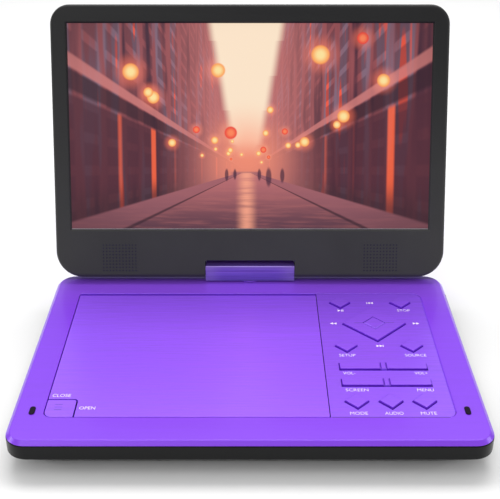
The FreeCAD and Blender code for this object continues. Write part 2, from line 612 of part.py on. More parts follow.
def swivel_hub():
    disc = post(0, PIVOT_Y, HUB_R, DECK_Z + 0.2, PIVOT_Z - 6.1)
    stem = post(0, PIVOT_Y, STEM_HUB_R, 12.5, DECK_Z + 0.2)
    neck = post(0, PIVOT_Y, 3.2, PIVOT_Z - 6.1, PIVOT_Z - 4.7)
    carrier = box(-26, 26, PIVOT_Y - 3.4, PIVOT_Y + 3.4, PIVOT_Z - 4.7, PIVOT_Z + 2.6)
    hub = union([disc, stem, neck, carrier])
    cuts = [rod_x(-27, -9, PIVOT_Y, PIVOT_Z, SHAFT_R), rod_x(9, 27, PIVOT_Y, PIVOT_Z, SHAFT_R),
            box(-9, 3, PIVOT_Y - 1.6, PIVOT_Y + 1.6, PIVOT_Z - 4.7, PIVOT_Z + 3),
            post(0, PIVOT_Y, CABLE_BORE, 12, PIVOT_Z),
            post(0, PIVOT_Y, 4.0, 14.0, 14.8).cut(post(0, PIVOT_Y, 1.9, 13, 16))]
    return hub.cut(cuts)


def swivel_clip():
    return post(0, PIVOT_Y, BUSH_R, 14.1, 14.7).cut(post(0, PIVOT_Y, 1.9, 13, 16))


def swivel_bush():
    return post(0, PIVOT_Y, BUSH_R, 15.2, DECK_Z).cut(post(0, PIVOT_Y, STEM_HUB_R + RUN_GAP, 14, 23))


def hinge_shafts():
    left = rod_x(-SHAFT_END, -9, PIVOT_Y, PIVOT_Z, SHAFT_R)
    left = left.cut(rod_x(-SHAFT_END - 1, -8, PIVOT_Y, PIVOT_Z, CABLE_BORE - 0.1))
    return Part.Compound([left, rod_x(9, SHAFT_END, PIVOT_Y, PIVOT_Z, SHAFT_R)])


def hinge_cable():
    """The screen's lead: up the swivel axis, one bend, then along the tilt axis into the lid."""
    bend = 4.5
    start = V(0, PIVOT_Y, 10.0)
    rise = V(0, PIVOT_Y, PIVOT_Z - bend)
    mid = V(-bend + bend * math.cos(math.pi / 4), PIVOT_Y, PIVOT_Z - bend + bend * math.sin(math.pi / 4))
    turn = V(-bend, PIVOT_Y, PIVOT_Z)
    end = V(-SHAFT_END - 5, PIVOT_Y, PIVOT_Z)
    path = Part.Wire([Part.LineSegment(start, rise).toShape(), Part.Arc(rise, mid, turn).toShape(),
                      Part.LineSegment(turn, end).toShape()])
    section = Part.Wire(Part.Circle(start, V(0, 0, 1), CABLE_R).toShape())
    return path.makePipeShell([section], True, False)


# ---------------------------------------------------------------- lid, in the lid's frame
def lid_prism(inset, y0, y1):
    """The lid's outline, inset by some amount, between two depths."""
    half = BASE_W / 2 - inset
    low, high = LID_BOTTOM + inset, LID_TOP - inset
    top_r, low_r = LID_TOP_R - inset, LID_BOTTOM_R - inset
    flat = rounded_prism(-half, half, low, high, -y1, -y0, (low_r, low_r, top_r, top_r))
    flat.rotate(V(0, 0, 0), V(1, 0, 0), 90)
    return flat


def lid_notch(grow, y0, y1):
    return box(-NOTCH_X - grow, NOTCH_X + grow, y0, y1, LID_BOTTOM - 1, NOTCH_TOP + grow)


def round_face(shape, y):
    """Round the long edges of the outline that lie on the face at depth y."""
    edges = [e for e in shape.Edges if all(abs(v.Y - y) < 1e-6 for v in e.Vertexes)]
    return shape.makeFillet(LID_EDGE_R, edges)


def front_bezel():
    front, back = -LID_T / 2, LID_SPLIT
    shell = round_face(lid_prism(0, front, back), front)
    hollow = lid_prism(LID_WALL, front + LID_WALL, back + 1).cut(lid_notch(LID_WALL, front, back + 1))
    shell = shell.cut(hollow)
    shell = shell.cut(lid_notch(0, front - 1, back + 1))
    frame = Part.makeLoft([screen_wire(-0.1, front - 0.01), screen_wire(0.9, front + LID_WALL)], True, True)
    grilles = [grille_plate(side, front - 1, front + LID_WALL + 1, 0.0) for side in (-1, 1)]
    shafts = [rod_x(-SHAFT_END, -NOTCH_X + 1, 0, 0, SHAFT_R + 0.6),
              rod_x(NOTCH_X - 1, SHAFT_END, 0, 0, SHAFT_R + 0.6)]
    return shell.cut([frame] + grilles + shafts)


def screen_wire(inset, y):
    x, low, high = SCREEN_X + 0.8 - inset, SCREEN_LOW - 0.8 + inset, SCREEN_HIGH + 0.8 - inset
    corners = [V(-x, y, low), V(x, y, low), V(x, y, high), V(-x, y, high)]
    return Part.makePolygon(corners + corners[:1])


def grille_plate(side, y0, y1, gap):
    x = side * GRILLE_X
    return box(x - GRILLE_W / 2 + gap, x + GRILLE_W / 2 - gap, y0, y1, GRILLE_S - GRILLE_H / 2 + gap,
               GRILLE_S + GRILLE_H / 2 - gap)


def speaker_grilles():
    front = -LID_T / 2
    plates = []
    for side in (-1, 1):
        plate = grille_plate(side, front, front + 0.9, 0.0)
        x0 = side * GRILLE_X - GRILLE_W / 2
        z0 = GRILLE_S - GRILLE_H / 2
        slots = [box(x0 + 2.2 + 2.8 * i, x0 + 3.6 + 2.8 * i, front - 1, front + 2, z0 + 2, z0 + GRILLE_H - 2)
                 for i in range(8)]
        plates.append(plate.cut(slots))
    return Part.Compound(plates)


def lid_back_cover():
    back = LID_T / 2
    shell = round_face(lid_prism(0, LID_SPLIT, back), back)
    hollow = lid_prism(LID_WALL, LID_SPLIT - 1, back - LID_WALL).cut(lid_notch(LID_WALL, 0, back + 1))
    bosses = [Part.makeCylinder(2.4, 2.5, V(x, LID_SPLIT, s), V(0, 1, 0)) for x, s in LID_BOSSES]
    shell = union([shell.cut(hollow).cut(lid_notch(0, 0, back + 1))] + bosses)
    cuts = []
    for x, s in LID_BOSSES:
        cuts.append(Part.makeCylinder(1.2, 6, V(x, 0, s), V(0, 1, 0)))
        cuts.append(Part.makeCylinder(2.1, 2, V(x, back - 1.4, s), V(0, 1, 0)))
    return shell.cut(cuts)


LID_BOSSES = [(side * x, s) for side in (-1, 1) for x, s in ((126.5, 18.0), (126.5, 165.0), (56.0, 17.0))]


def lid_screws():
    screws = []
    for x, s in LID_BOSSES:
        head = Part.makeCylinder(2.0, 1.1, V(x, LID_T / 2 - 1.4, s), V(0, 1, 0))
        head = head.cut(box(x - 1.4, x + 1.4, LID_T / 2 - 0.9, LID_T / 2, s - 0.3, s + 0.3))
        screws.append(head.fuse(Part.makeCylinder(1.0, 3.2, V(x, LID_T / 2 - 4.6, s), V(0, 1, 0))))
    return Part.Compound(screws)


def lcd_panel():
    front = -LID_T / 2 + LID_WALL
    return box(-SCREEN_X - 3, SCREEN_X + 3, front, front + 1.8, SCREEN_LOW - 3, SCREEN_HIGH + 3)


def lcd_backlight():
    front = -LID_T / 2 + LID_WALL + 1.8
    return box(-SCREEN_X - 3, SCREEN_X + 3, front, front + 3.0, SCREEN_LOW - 3, SCREEN_HIGH + 3)


def lcd_driver_board():
    front = -LID_T / 2 + LID_WALL + 5.0
    board = box(-45, 45, front, front + 1.0, 90, 130)
    return union([board] + [box(x, x + 10, front + 1.0, front + 2.2, 100, 110) for x in (-30, -5, 20)])


def speakers():
    front = -LID_T / 2 + LID_WALL
    parts = []
    for side in (-1, 1):
        x = side * GRILLE_X
        cone = Part.makeCylinder(9.6, 1.2, V(x, front, GRILLE_S), V(0, 1, 0))
        parts.append(cone.fuse(Part.makeCylinder(6.0, 3.6, V(x, front + 1.2, GRILLE_S), V(0, 1, 0))))
    return Part.Compound(parts)


def hinge_leaves():
    leaves = []
    for side in (-1, 1):
        inner, outer = NOTCH_X + LID_WALL + 0.2, SHAFT_END
        sleeve = rod_x(min(side * inner, side * outer), max(side * inner, side * outer), 0, 0, 2.8)
        x0, x1 = sorted((side * inner, side * 62.0))
        plate = box(x0, x1, 1.2, 2.4, 0, 24)
        leaf = union([sleeve, plate])
        leaves.append(leaf.cut([rod_x(-60, 60, 0, 0, SHAFT_R + RUN_GAP),
                                Part.makeCylinder(1.0, 6, V(side * 56.0, -1, 17.0), V(0, 1, 0))]))
    return Part.Compound(leaves)


# ---------------------------------------------------------------- write every piece
def main():
    os.makedirs("parts", exist_ok=True)
    base_pieces = {
        "base_lower_case": lower_case(),
        "base_upper_case": upper_case(),
        "button_panel": button_panel(),
        "rubber_feet": feet(),
        "case_screws": case_screws(),
        "deck_bumpers": bumpers(),
        "disc_well": disc_well(),
        "loader_frame": loader_frame(),
        "loader_dampers": loader_dampers(),
        "spindle_motor": spindle_motor(),
        "guide_rails": guide_rails(),
        "feed_motor": feed_motor(),
        "main_board": main_board(),
        "battery_pack": battery_pack(),
        "key_board": key_board(),
        "key_domes": key_domes(),
        "headphone_jack": audio_jack(HEADPHONE_Y),
        "av_jack": audio_jack(AV_Y),
        "usb_port": usb_port(),
        "card_slot": card_slot(),
        "dc_jack": dc_jack(),
        "status_lights": status_lights(),
        "door_hinge_pins": door_pins(),
        "door_catch": door_catch(),
        "swivel_bush": swivel_bush(),
        "disc_door": disc_door(),
        "door_latch_hook": latch_hook(),
        "open_button": open_button(),
        "turntable": turntable(),
        "lead_screw": lead_screw(),
        "pickup_sled": pickup_sled(),
        "objective_lens": objective_lens(),
        "enter_key": enter_key(),
        "nav_pad": nav_pad(),
        "nav_rubber_pad": nav_rubber_pad(),
        "power_switch": power_switch(),
        "swivel_hub": swivel_hub(),
        "swivel_clip": swivel_clip(),
        "hinge_cover_front": hinge_cover(True),
        "hinge_cover_rear": hinge_cover(False),
        "hinge_shafts": hinge_shafts(),
        "hinge_cable": hinge_cable(),
    }
    base_pieces.update({name: key(x, y) for name, (x, y) in KEYS.items()})
    base_pieces.update({name: rocker(x, y) for name, (x, y) in ROCKERS.items()})
    for name, shape in base_pieces.items():
        save(name, shape)
    lid_pieces = {
        "front_bezel": front_bezel(),
        "lid_back_cover": lid_back_cover(),
        "lcd_panel": lcd_panel(),
        "lcd_backlight": lcd_backlight(),
        "lcd_driver_board": lcd_driver_board(),
        "speakers": speakers(),
        "speaker_grilles": speaker_grilles(),
        "hinge_leaves": hinge_leaves(),
        "lid_screws": lid_screws(),
    }
    for name, shape in lid_pieces.items():
        save_lid(name, shape)
    print("pieces:", len(base_pieces) + len(lid_pieces))


main()
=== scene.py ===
"""Looks of the portable disc player: materials, softened shells, printed labels, the screen's picture.

Metres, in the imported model's frame: +X right, +Y away from the user, +Z up, table at z = 0.
"""
import json
import math
import bmesh
import bpy
from mathutils import Euler, Matrix, Vector

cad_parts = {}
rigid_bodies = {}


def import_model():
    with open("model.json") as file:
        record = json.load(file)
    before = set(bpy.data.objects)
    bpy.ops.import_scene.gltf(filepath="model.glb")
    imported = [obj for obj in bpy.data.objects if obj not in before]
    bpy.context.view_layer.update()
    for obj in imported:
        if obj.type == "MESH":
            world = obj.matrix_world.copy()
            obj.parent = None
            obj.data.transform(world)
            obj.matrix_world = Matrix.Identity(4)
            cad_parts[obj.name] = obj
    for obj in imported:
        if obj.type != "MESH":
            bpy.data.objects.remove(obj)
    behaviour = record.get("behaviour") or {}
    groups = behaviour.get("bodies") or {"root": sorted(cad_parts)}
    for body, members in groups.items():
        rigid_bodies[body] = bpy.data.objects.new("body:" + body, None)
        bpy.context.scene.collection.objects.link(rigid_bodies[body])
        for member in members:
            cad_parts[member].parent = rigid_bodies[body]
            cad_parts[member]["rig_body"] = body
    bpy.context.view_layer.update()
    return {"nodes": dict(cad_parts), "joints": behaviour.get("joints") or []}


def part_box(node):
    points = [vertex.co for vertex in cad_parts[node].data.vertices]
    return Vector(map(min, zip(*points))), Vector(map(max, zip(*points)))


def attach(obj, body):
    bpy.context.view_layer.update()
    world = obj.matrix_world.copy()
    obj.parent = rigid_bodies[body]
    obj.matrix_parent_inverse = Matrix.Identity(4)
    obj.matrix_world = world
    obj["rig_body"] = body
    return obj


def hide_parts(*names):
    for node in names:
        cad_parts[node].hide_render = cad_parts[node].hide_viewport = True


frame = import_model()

MM = 0.001
JOINTS = {joint["name"]: joint for joint in frame["joints"]}

# --- places taken from the frame ---
CASE_LOW, CASE_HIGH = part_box("base_lower_case")
FRONT_Y = CASE_LOW.y
DECK_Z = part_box("base_upper_case")[1].z
PARTING_Z = CASE_HIGH.z + 0.3 * MM
PANEL_LOW, PANEL_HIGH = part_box("button_panel")
DOOR_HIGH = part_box("disc_door")[1]
BUTTON_LOW, BUTTON_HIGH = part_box("open_button")
NAV_LOW, NAV_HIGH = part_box("nav_pad")
BRACKET_LOW, BRACKET_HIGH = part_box("hinge_cover_front")
LID_LOW, LID_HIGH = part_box("front_bezel")

# The lid's own frame has its origin on the tilt axis. Shutting the lid takes 90 degrees plus its lean.
PIVOT = Vector(JOINTS["screen_tilt"]["pos_m"])
LEAN = math.radians(-JOINTS["screen_tilt"]["range_deg"][0] - 90)
LID_FRAME = Matrix.Translation(PIVOT) @ Matrix.Rotation(-LEAN, 4, "X")
LID_FACE = -6.0 * MM          # the bezel's front face in that frame


# ================================================================ small tools
def add_mesh(name, bm):
    mesh = bpy.data.meshes.new(name)
    bm.to_mesh(mesh)
    bm.free()
    obj = bpy.data.objects.new(name, mesh)
    bpy.context.scene.collection.objects.link(obj)
    return obj


def finish_piece(obj, body, material, replaces=()):
    obj.data.materials.clear()
    obj.data.materials.append(material)
    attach(obj, body)
    if replaces:
        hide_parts(*replaces)


def softened(node, material, width, segments=2, sides=None, steep=0.5, only=None):
    """A copy of a CAD node with its moulded edges rounded, standing for the node.

    sides: a second material, for faces whose normal has less than steep of its length along Z.
    only: a test on a vertex position; edges with an end that fails it stay sharp.
    """
    weld, flat_angle, angle = 2e-6, 0.6, 34
    source = frame["nodes"][node]
    bm = bmesh.new()
    bm.from_mesh(source.data)
    bmesh.ops.remove_doubles(bm, verts=bm.verts, dist=weld)
    bmesh.ops.dissolve_limit(bm, angle_limit=math.radians(flat_angle), verts=bm.verts, edges=bm.edges)
    if only:
        weight = bm.edges.layers.float.new("bevel_weight_edge")
        for edge in bm.edges:
            sharp = edge.is_manifold and edge.calc_face_angle() > math.radians(angle)
            edge[weight] = 1.0 if sharp and all(only(vert.co) for vert in edge.verts) else 0.0
    obj = add_mesh(node + "_skin", bm)
    for name in ("custom_normal", "UVMap"):
        if name in obj.data.attributes:
            obj.data.attributes.remove(obj.data.attributes[name])
    obj.data.shade_smooth()
    bevel = obj.modifiers.new("edges", "BEVEL")
    bevel.width = width
    bevel.segments = segments
    bevel.limit_method = "WEIGHT" if only else "ANGLE"
    bevel.angle_limit = math.radians(angle)
    bevel.use_clamp_overlap = False
    bevel.harden_normals = True
    finish_piece(obj, source["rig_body"], material, [node])
    if sides:
        obj.data.materials.append(sides)
        for face in obj.data.polygons:
            face.material_index = 1 if abs(face.normal.z) < steep else 0
    if only:
        obj.data.set_sharp_from_angle(angle=math.radians(angle))     # the edges that no bevel rounds
    return obj


def paint(node, material):
    """A CAD node shown as it is, in one material."""
    mesh = frame["nodes"][node].data
    mesh.materials.clear()
    mesh.materials.append(material)


def slab(bm, x0, x1, y0, y1, z0, z1):
    """An axis-aligned block added to a mesh being built."""
    verts = [bm.verts.new((x, y, z)) for z in (z0, z1) for y in (y0, y1) for x in (x0, x1)]
    for ids in ((0, 2, 3, 1), (4, 5, 7, 6), (0, 1, 5, 4), (2, 6, 7, 3), (0, 4, 6, 2), (1, 3, 7, 5)):
        bm.faces.new([verts[i] for i in ids])


def flat_shape(bm, points, z0, z1):
    """A thin prism over a flat outline given counter-clockwise."""
    low = [bm.verts.new((x, y, z0)) for x, y in points]
    high = [bm.verts.new((x, y, z1)) for x, y in points]
    bm.faces.new(high)
    bm.faces.new(list(reversed(low)))
    count = len(points)
    for i in range(count):
        j = (i + 1) % count
        bm.faces.new([low[i], low[j], high[j], high[i]])


def rounded(x0, x1, y0, y1, left, right, steps=4):
    """A rectangle's outline with one radius for its left corners and one for its right ones."""
    points = []
    corners = ((x1, y0, right, 270), (x1, y1, right, 0), (x0, y1, left, 90), (x0, y0, left, 180))
    for cx, cy, radius, start in corners:
        mx = cx + (radius if cx == x0 else -radius)
        my = cy + (radius if cy == y0 else -radius)
        for i in range(steps + 1):
            angle = math.radians(start + 90 * i / steps)
            points.append((mx + radius * math.cos(angle), my + radius * math.sin(angle)))
    return points


def stack(bm, outlines):
    """Join outlines with the same number of points, given as (points, height), into a closed block."""
    rings = [[bm.verts.new((x, y, z)) for x, y in points] for points, z in outlines]
    bm.faces.new(list(reversed(rings[0])))
    bm.faces.new(rings[-1])
    count = len(rings[0])
    for low, high in zip(rings, rings[1:]):
        for i in range(count):
            j = (i + 1) % count
            bm.faces.new([low[i], low[j], high[j], high[i]])


# ================================================================ material tools
class Graph:
    """Builds a node tree with short calls. Values may be numbers or sockets."""

    def __init__(self, name):
        self.material = bpy.data.materials.new(name)
        self.material.use_nodes = True
        self.tree = self.material.node_tree
        self.bsdf = self.tree.nodes["Principled BSDF"]
        self.place = self.node("ShaderNodeTexCoord").outputs["Object"]

    def node(self, kind, **settings):
        made = self.tree.nodes.new(kind)
        for key, value in settings.items():
            setattr(made, key, value)
        return made

    def put(self, socket, value):
        if isinstance(value, bpy.types.NodeSocket):
            self.tree.links.new(value, socket)
        else:
            socket.default_value = value

    def math(self, operation, a, b=0.0):
        made = self.node("ShaderNodeMath", operation=operation)
        for socket, value in zip(made.inputs, (a, b)):
            self.put(socket, value)
        return made.outputs[0]

    def add(self, a, b):
        return self.math("ADD", a, b)

    def mul(self, a, b):
        return self.math("MULTIPLY", a, b)

    def ramp(self, value, low, high, to_low=0.0, to_high=1.0):
        made = self.node("ShaderNodeMapRange", interpolation_type="SMOOTHSTEP")
        for socket, item in zip(made.inputs, (value, low, high, to_low, to_high)):
            self.put(socket, item)
        return made.outputs[0]

    def blend(self, factor, a, b, mode="MIX"):
        made = self.node("ShaderNodeMix", data_type="RGBA", blend_type=mode, clamp_result=False)
        self.put(made.inputs[0], factor)
        self.put(made.inputs[6], a)
        self.put(made.inputs[7], b)
        return made.outputs[2]

    def gray(self, value):
        """A grey colour from one number."""
        made = self.node("ShaderNodeCombineColor")
        for socket in made.inputs:
            self.put(socket, value)
        return made.outputs[0]

    def toned(self, colour, shade):
        """A colour made lighter or darker by one number."""
        return self.blend(1.0, colour, self.gray(shade), "MULTIPLY")

    def parts(self, source=None):
        """The X, Y and Z of a vector."""
        made = self.node("ShaderNodeSeparateXYZ")
        self.put(made.inputs[0], source or self.place)
        return made.outputs

    def joined(self, x, y=0.0):
        """A vector from its X and Y."""
        made = self.node("ShaderNodeCombineXYZ")
        self.put(made.inputs[0], x)
        self.put(made.inputs[1], y)
        return made.outputs[0]

    def scaled(self, scale, source=None):
        made = self.node("ShaderNodeMapping")
        self.put(made.inputs["Vector"], source or self.place)
        made.inputs["Scale"].default_value = scale
        return made.outputs[0]

    def noise(self, scale, detail=3.0, rough=0.5, stretch=(1, 1, 1), source=None):
        made = self.node("ShaderNodeTexNoise")
        self.put(made.inputs["Vector"], self.scaled(stretch, source))
        made.inputs["Scale"].default_value = scale
        made.inputs["Detail"].default_value = detail
        made.inputs["Roughness"].default_value = rough
        return made.outputs["Fac"]

    def voronoi(self, scale, feature="F1", randomness=1.0):
        made = self.node("ShaderNodeTexVoronoi", feature=feature)
        self.put(made.inputs["Vector"], self.place)
        made.inputs["Scale"].default_value = scale
        made.inputs["Randomness"].default_value = randomness
        return made.outputs["Distance"]

    def bump(self, height, distance, strength=1.0):
        made = self.node("ShaderNodeBump")
        made.inputs["Strength"].default_value = strength
        made.inputs["Distance"].default_value = distance
        self.put(made.inputs["Height"], height)
        self.tree.links.new(made.outputs[0], self.bsdf.inputs["Normal"])

    def set(self, **values):
        for key, value in values.items():
            self.put(self.bsdf.inputs[key.replace("_", " ")], value)


def rgb(red, green, blue):
    return (red, green, blue, 1.0)


def tinted(colour, tint):
    return rgb(*(channel * tint for channel in colour))


def satin_purple(name, tint=1.0, colour=(0.190, 0.027, 0.70)):
    """Metallic lacquer with very faint flow lines; greyer towards the back as a painted shade and reflection
    of the lid, and darker at the rear rim as a painted shadow of the lid.
    """
    g = Graph(name)
    streak = 0.05
    lines = g.noise(1.0, 4, 0.6, (14, 520, 520))
    flake = g.noise(5200, 1, 0.5)
    cloud = g.noise(16, 2, 0.5)
    value = g.add(g.mul(lines, streak * 2), g.add(g.mul(flake, 0.05), g.mul(cloud, 0.03)))
    shade = g.ramp(value, 0.0, streak * 2 + 0.08, 0.9, 1.08)
    y = g.parts()[1]
    # painted shadow: the rear strip of the deck darkened where the lid's shadow falls
    shade = g.mul(shade, g.ramp(y, CASE_HIGH.y - 8 * MM, CASE_HIGH.y - 5 * MM, 1.0, 0.4))
    # painted shade and reflection of the lid: the colour turns greyer towards the back
    back = g.ramp(y, 0.0, 55 * MM)
    base = g.blend(back, tinted(colour, tint), tinted((0.240, 0.070, 0.72), tint))
    g.set(Base_Color=g.toned(base, shade), Metallic=0.12, Roughness=g.ramp(flake, 0.2, 0.8, 0.3, 0.38),
          Coat_Weight=0.25, Coat_Roughness=0.12)
    g.bump(flake, 2e-6, 0.15)
    return g.material


def brushed_purple(name, tint=1.0):
    """Hairline-brushed purple metal film: long streaks along X, finer ones on top."""
    g = Graph(name)
    fine = g.noise(1.0, 5, 0.62, (42, 1500, 1500))
    broad = g.noise(1.0, 3, 0.55, (24, 480, 480))
    patch = g.noise(1.0, 2, 0.5, (14, 30, 30))
    mixed = g.add(g.mul(fine, 0.6), g.add(g.mul(broad, 0.3), g.mul(patch, 0.1)))
    shade = g.ramp(mixed, 0.3, 0.7, 0.87, 1.12)
    g.set(Base_Color=g.toned(tinted((0.255, 0.074, 0.83), tint), shade), Metallic=0.25,
          Roughness=g.ramp(mixed, 0.3, 0.7, 0.42, 0.3), Coat_Weight=0.25, Coat_Roughness=0.22)
    g.bump(mixed, 8e-6, 0.25)
    return g.material


def bracket_purple(name):
    """The hinge cover's lacquer: lengthwise streaks, with painted light in bands up its height (a painted
    highlight over a painted shadow line along a ledge, a painted highlight on its top edge, darker towards
    the bottom) and paler ends as a painted highlight.
    """
    g = Graph(name)
    x, _, z = g.parts()
    rise = g.ramp(z, BRACKET_LOW.z, BRACKET_HIGH.z)
    rise.node.interpolation_type = "LINEAR"
    bands = g.node("ShaderNodeValToRGB")
    g.put(bands.inputs[0], rise)
    # painted light up the cover's height: a painted highlight at 0.62 over a painted shadow line at 0.68
    # along a ledge, a painted highlight on the top edge at 0.97, and darker towards the bottom
    painted_light_stops = ((0.0, (0.15, 0.085, 0.44)), (0.30, (0.17, 0.085, 0.52)), (0.55, (0.185, 0.095, 0.54)),
             (0.62, (0.27, 0.13, 0.66)), (0.68, (0.14, 0.055, 0.46)), (0.76, (0.20, 0.095, 0.56)),
             (0.93, (0.22, 0.11, 0.58)), (0.97, (0.46, 0.33, 0.80)))
    while len(bands.color_ramp.elements) < len(painted_light_stops):
        bands.color_ramp.elements.new(0.5)
    for element, (spot, colour) in zip(bands.color_ramp.elements, painted_light_stops):
        element.position = spot
        element.color = rgb(*colour)
    # painted highlight: the cover paler towards both ends
    painted_end_highlight = g.ramp(g.math("ABSOLUTE", x), BRACKET_HIGH.x * 0.55, BRACKET_HIGH.x)
    base = g.blend(g.mul(painted_end_highlight, 0.5), bands.outputs[0], rgb(0.30, 0.20, 0.55))
    streaks = g.noise(1.0, 4, 0.6, (30, 900, 900))
    tone = g.ramp(streaks, 0.3, 0.7, 0.88, 1.12)
    g.set(Base_Color=g.toned(base, tone), Metallic=0.12,
          Roughness=g.ramp(streaks, 0.3, 0.7, 0.34, 0.42))
    g.bump(streaks, 5e-6, 0.2)
    return g.material


def moulded(name, colour, roughness=0.45, grain=2600, depth=6e-6, spread=0.25, specular=0.5, coat=0.0):
    """Moulded plastic with a fine spark-eroded grain and slow tonal drift."""
    g = Graph(name)
    cells = g.voronoi(grain)
    fine = g.noise(grain * 0.6, 3, 0.6)
    drift = g.noise(22, 3, 0.55)
    shade = g.ramp(g.add(g.mul(fine, 0.5), g.mul(drift, 0.5)), 0.25, 0.75, 1 - spread, 1 + spread)
    g.set(Base_Color=g.toned(rgb(*colour), shade),
          Roughness=g.ramp(g.add(g.mul(cells, 0.4), g.mul(drift, 0.6)), 0.1, 0.7, roughness - 0.06,
                           roughness + 0.08),
          Specular_IOR_Level=specular, Coat_Weight=coat, Coat_Roughness=0.1)
    g.bump(g.add(cells, g.mul(fine, 0.6)), depth, 0.5)
    return g.material


def bezel_plastic(name):
    """Charcoal plastic, fine-grained, with painted light that makes it paler down the lid and towards its
    right side, and painted shade that darkens its very foot.
    """
    g = Graph(name)
    x, _, z = g.parts()
    # painted light: paler towards the foot of the lid and towards its right side
    height = g.ramp(z, LID_LOW.z, LID_HIGH.z)
    across = g.ramp(x, -130 * MM, 130 * MM, 0.92, 1.1)
    grain = g.noise(2400, 3, 0.6)
    drift = g.noise(22, 3, 0.55)
    tone = g.ramp(g.add(g.mul(grain, 0.5), g.mul(drift, 0.5)), 0.25, 0.75, 0.86, 1.14)
    # painted shade: the lid's lowest rim darkened where its rounded underside turns from the light
    foot = g.ramp(z, LID_LOW.z + 1.9 * MM, LID_LOW.z + 3.1 * MM, 0.1, 1.0)
    base = g.blend(height, rgb(0.046, 0.046, 0.0455), rgb(0.0135, 0.0135, 0.0138))
    g.set(Base_Color=g.toned(base, g.mul(foot, g.mul(tone, across))),
          Roughness=g.ramp(grain, 0.25, 0.75, 0.40, 0.5), Specular_IOR_Level=0.2)
    g.bump(grain, 4e-6, 0.5)
    return g.material


def rubber(name, colour, roughness=0.75):
    """Matt rubber or cloth with a little dust in it."""
    g = Graph(name)
    fine = g.noise(1900, 4, 0.65)
    dust = g.noise(240, 4, 0.6)
    shade = g.ramp(dust, 0.3, 0.75, 0.85, 1.35)
    g.set(Base_Color=g.toned(rgb(*colour), shade),
          Roughness=g.ramp(fine, 0.3, 0.7, roughness - 0.08, roughness + 0.1))
    g.bump(fine, 2e-5, 0.4)
    return g.material


def metal(name, colour, roughness=0.28, stretch=(60, 1600, 1600), wear=0.1):
    """Drawn or ground metal: fine lines, faint stains."""
    g = Graph(name)
    lines = g.noise(1.0, 4, 0.6, stretch)
    stain = g.noise(120, 4, 0.6)
    shade = g.ramp(g.add(g.mul(lines, 0.6), g.mul(stain, 0.4)), 0.3, 0.7, 1 - wear, 1 + wear)
    g.set(Base_Color=g.toned(rgb(*colour), shade), Metallic=1.0,
          Roughness=g.ramp(lines, 0.3, 0.7, roughness - 0.05, roughness + 0.08))
    g.bump(lines, 6e-6, 0.4)
    return g.material


def circuit(name):
    """Solder mask with copper tracks showing through and tinned pads."""
    g = Graph(name)
    tracks = g.voronoi(420, feature="DISTANCE_TO_EDGE", randomness=0.25)
    pads = g.voronoi(300, randomness=0.4)
    track = g.ramp(tracks, 0.03, 0.06)
    pad = g.ramp(pads, 0.16, 0.13)
    mask = g.blend(track, rgb(0.035, 0.22, 0.07), rgb(0.012, 0.1, 0.03))
    g.set(Base_Color=g.blend(pad, mask, rgb(0.62, 0.58, 0.5)), Metallic=g.mul(pad, 0.9),
          Roughness=g.ramp(pad, 0, 1, 0.32, 0.24))
    g.bump(g.add(track, pad), 2e-5, 0.3)
    return g.material


def wrapped_cell(name):
    """Shrink wrap with soft wrinkles."""
    g = Graph(name)
    folds = g.noise(90, 4, 0.6, (1, 3, 1))
    g.set(Base_Color=g.blend(g.ramp(folds, 0.3, 0.7), rgb(0.02, 0.07, 0.28), rgb(0.05, 0.14, 0.42)),
          Roughness=g.ramp(folds, 0.3, 0.7, 0.18, 0.3))
    g.bump(folds, 3e-4, 0.4)
    return g.material


def white_ink(name):
    """Pale screen print, thin in specks."""
    g = Graph(name)
    speckle = g.noise(3800, 3, 0.6)
    g.set(Base_Color=g.toned(rgb(0.82, 0.70, 0.93), g.ramp(speckle, 0.3, 0.7, 0.9, 1.0)),
          Roughness=g.ramp(speckle, 0.3, 0.7, 0.42, 0.55))
    return g.material


def lens_material(name):
    """Coated glass with faint coloured rings."""
    g = Graph(name)
    rings = g.node("ShaderNodeTexWave", wave_type="RINGS", rings_direction="Z")
    g.put(rings.inputs["Vector"], g.place)
    rings.inputs["Scale"].default_value = 900
    g.set(Base_Color=g.blend(rings.outputs["Fac"], rgb(0.3, 0.36, 0.62), rgb(0.5, 0.44, 0.66)),
          Roughness=0.04, Coat_Weight=1.0)
    return g.material


def light_pipe(name, colour):
    """Clear plastic lit from behind."""
    g = Graph(name)
    fine = g.noise(900, 2, 0.5)
    g.set(Base_Color=g.blend(fine, rgb(*colour), tinted(colour, 0.7)), Roughness=0.2,
          Emission_Color=rgb(*colour), Emission_Strength=0.5)
    return g.material


# ================================================================ the screen's picture
SCREEN_HALF = 121.3 * MM      # half the picture's width
SCREEN_LOW = 28.6 * MM        # its lower and upper edges, measured up the lid from the tilt axis
SCREEN_HIGH = 165.8 * MM
VANISH = (0.49, 0.29)         # the street's vanishing point, in shares of the picture
ASPECT = 16 / 9


def lantern_rows():
    """Paper lanterns on strings across the street: (u, v, radius, whether amber), nearest first."""
    rows = []
    for step, distance in enumerate((1.0, 1.35, 1.85, 2.5, 3.4, 4.6, 6.2, 8.4)):
        for lane, reach in enumerate((-0.52, -0.33, -0.13, 0.17, 0.36, 0.50)):
            sway = math.sin(7.3 * step + 2.9 * lane)
            u = VANISH[0] + (reach + 0.05 * sway) / distance
            v = VANISH[1] + (0.50 + 0.16 * math.cos(3.1 * step + 1.7 * lane)) / distance
            if 0.0 < u < 1.0 and v < 1.0 and (step + 2 * lane) % 3 != 1:
                rows.append((u, v, (0.040 + 0.012 * sway) / distance ** 0.75, (step + lane) % 4 != 0))
    return rows


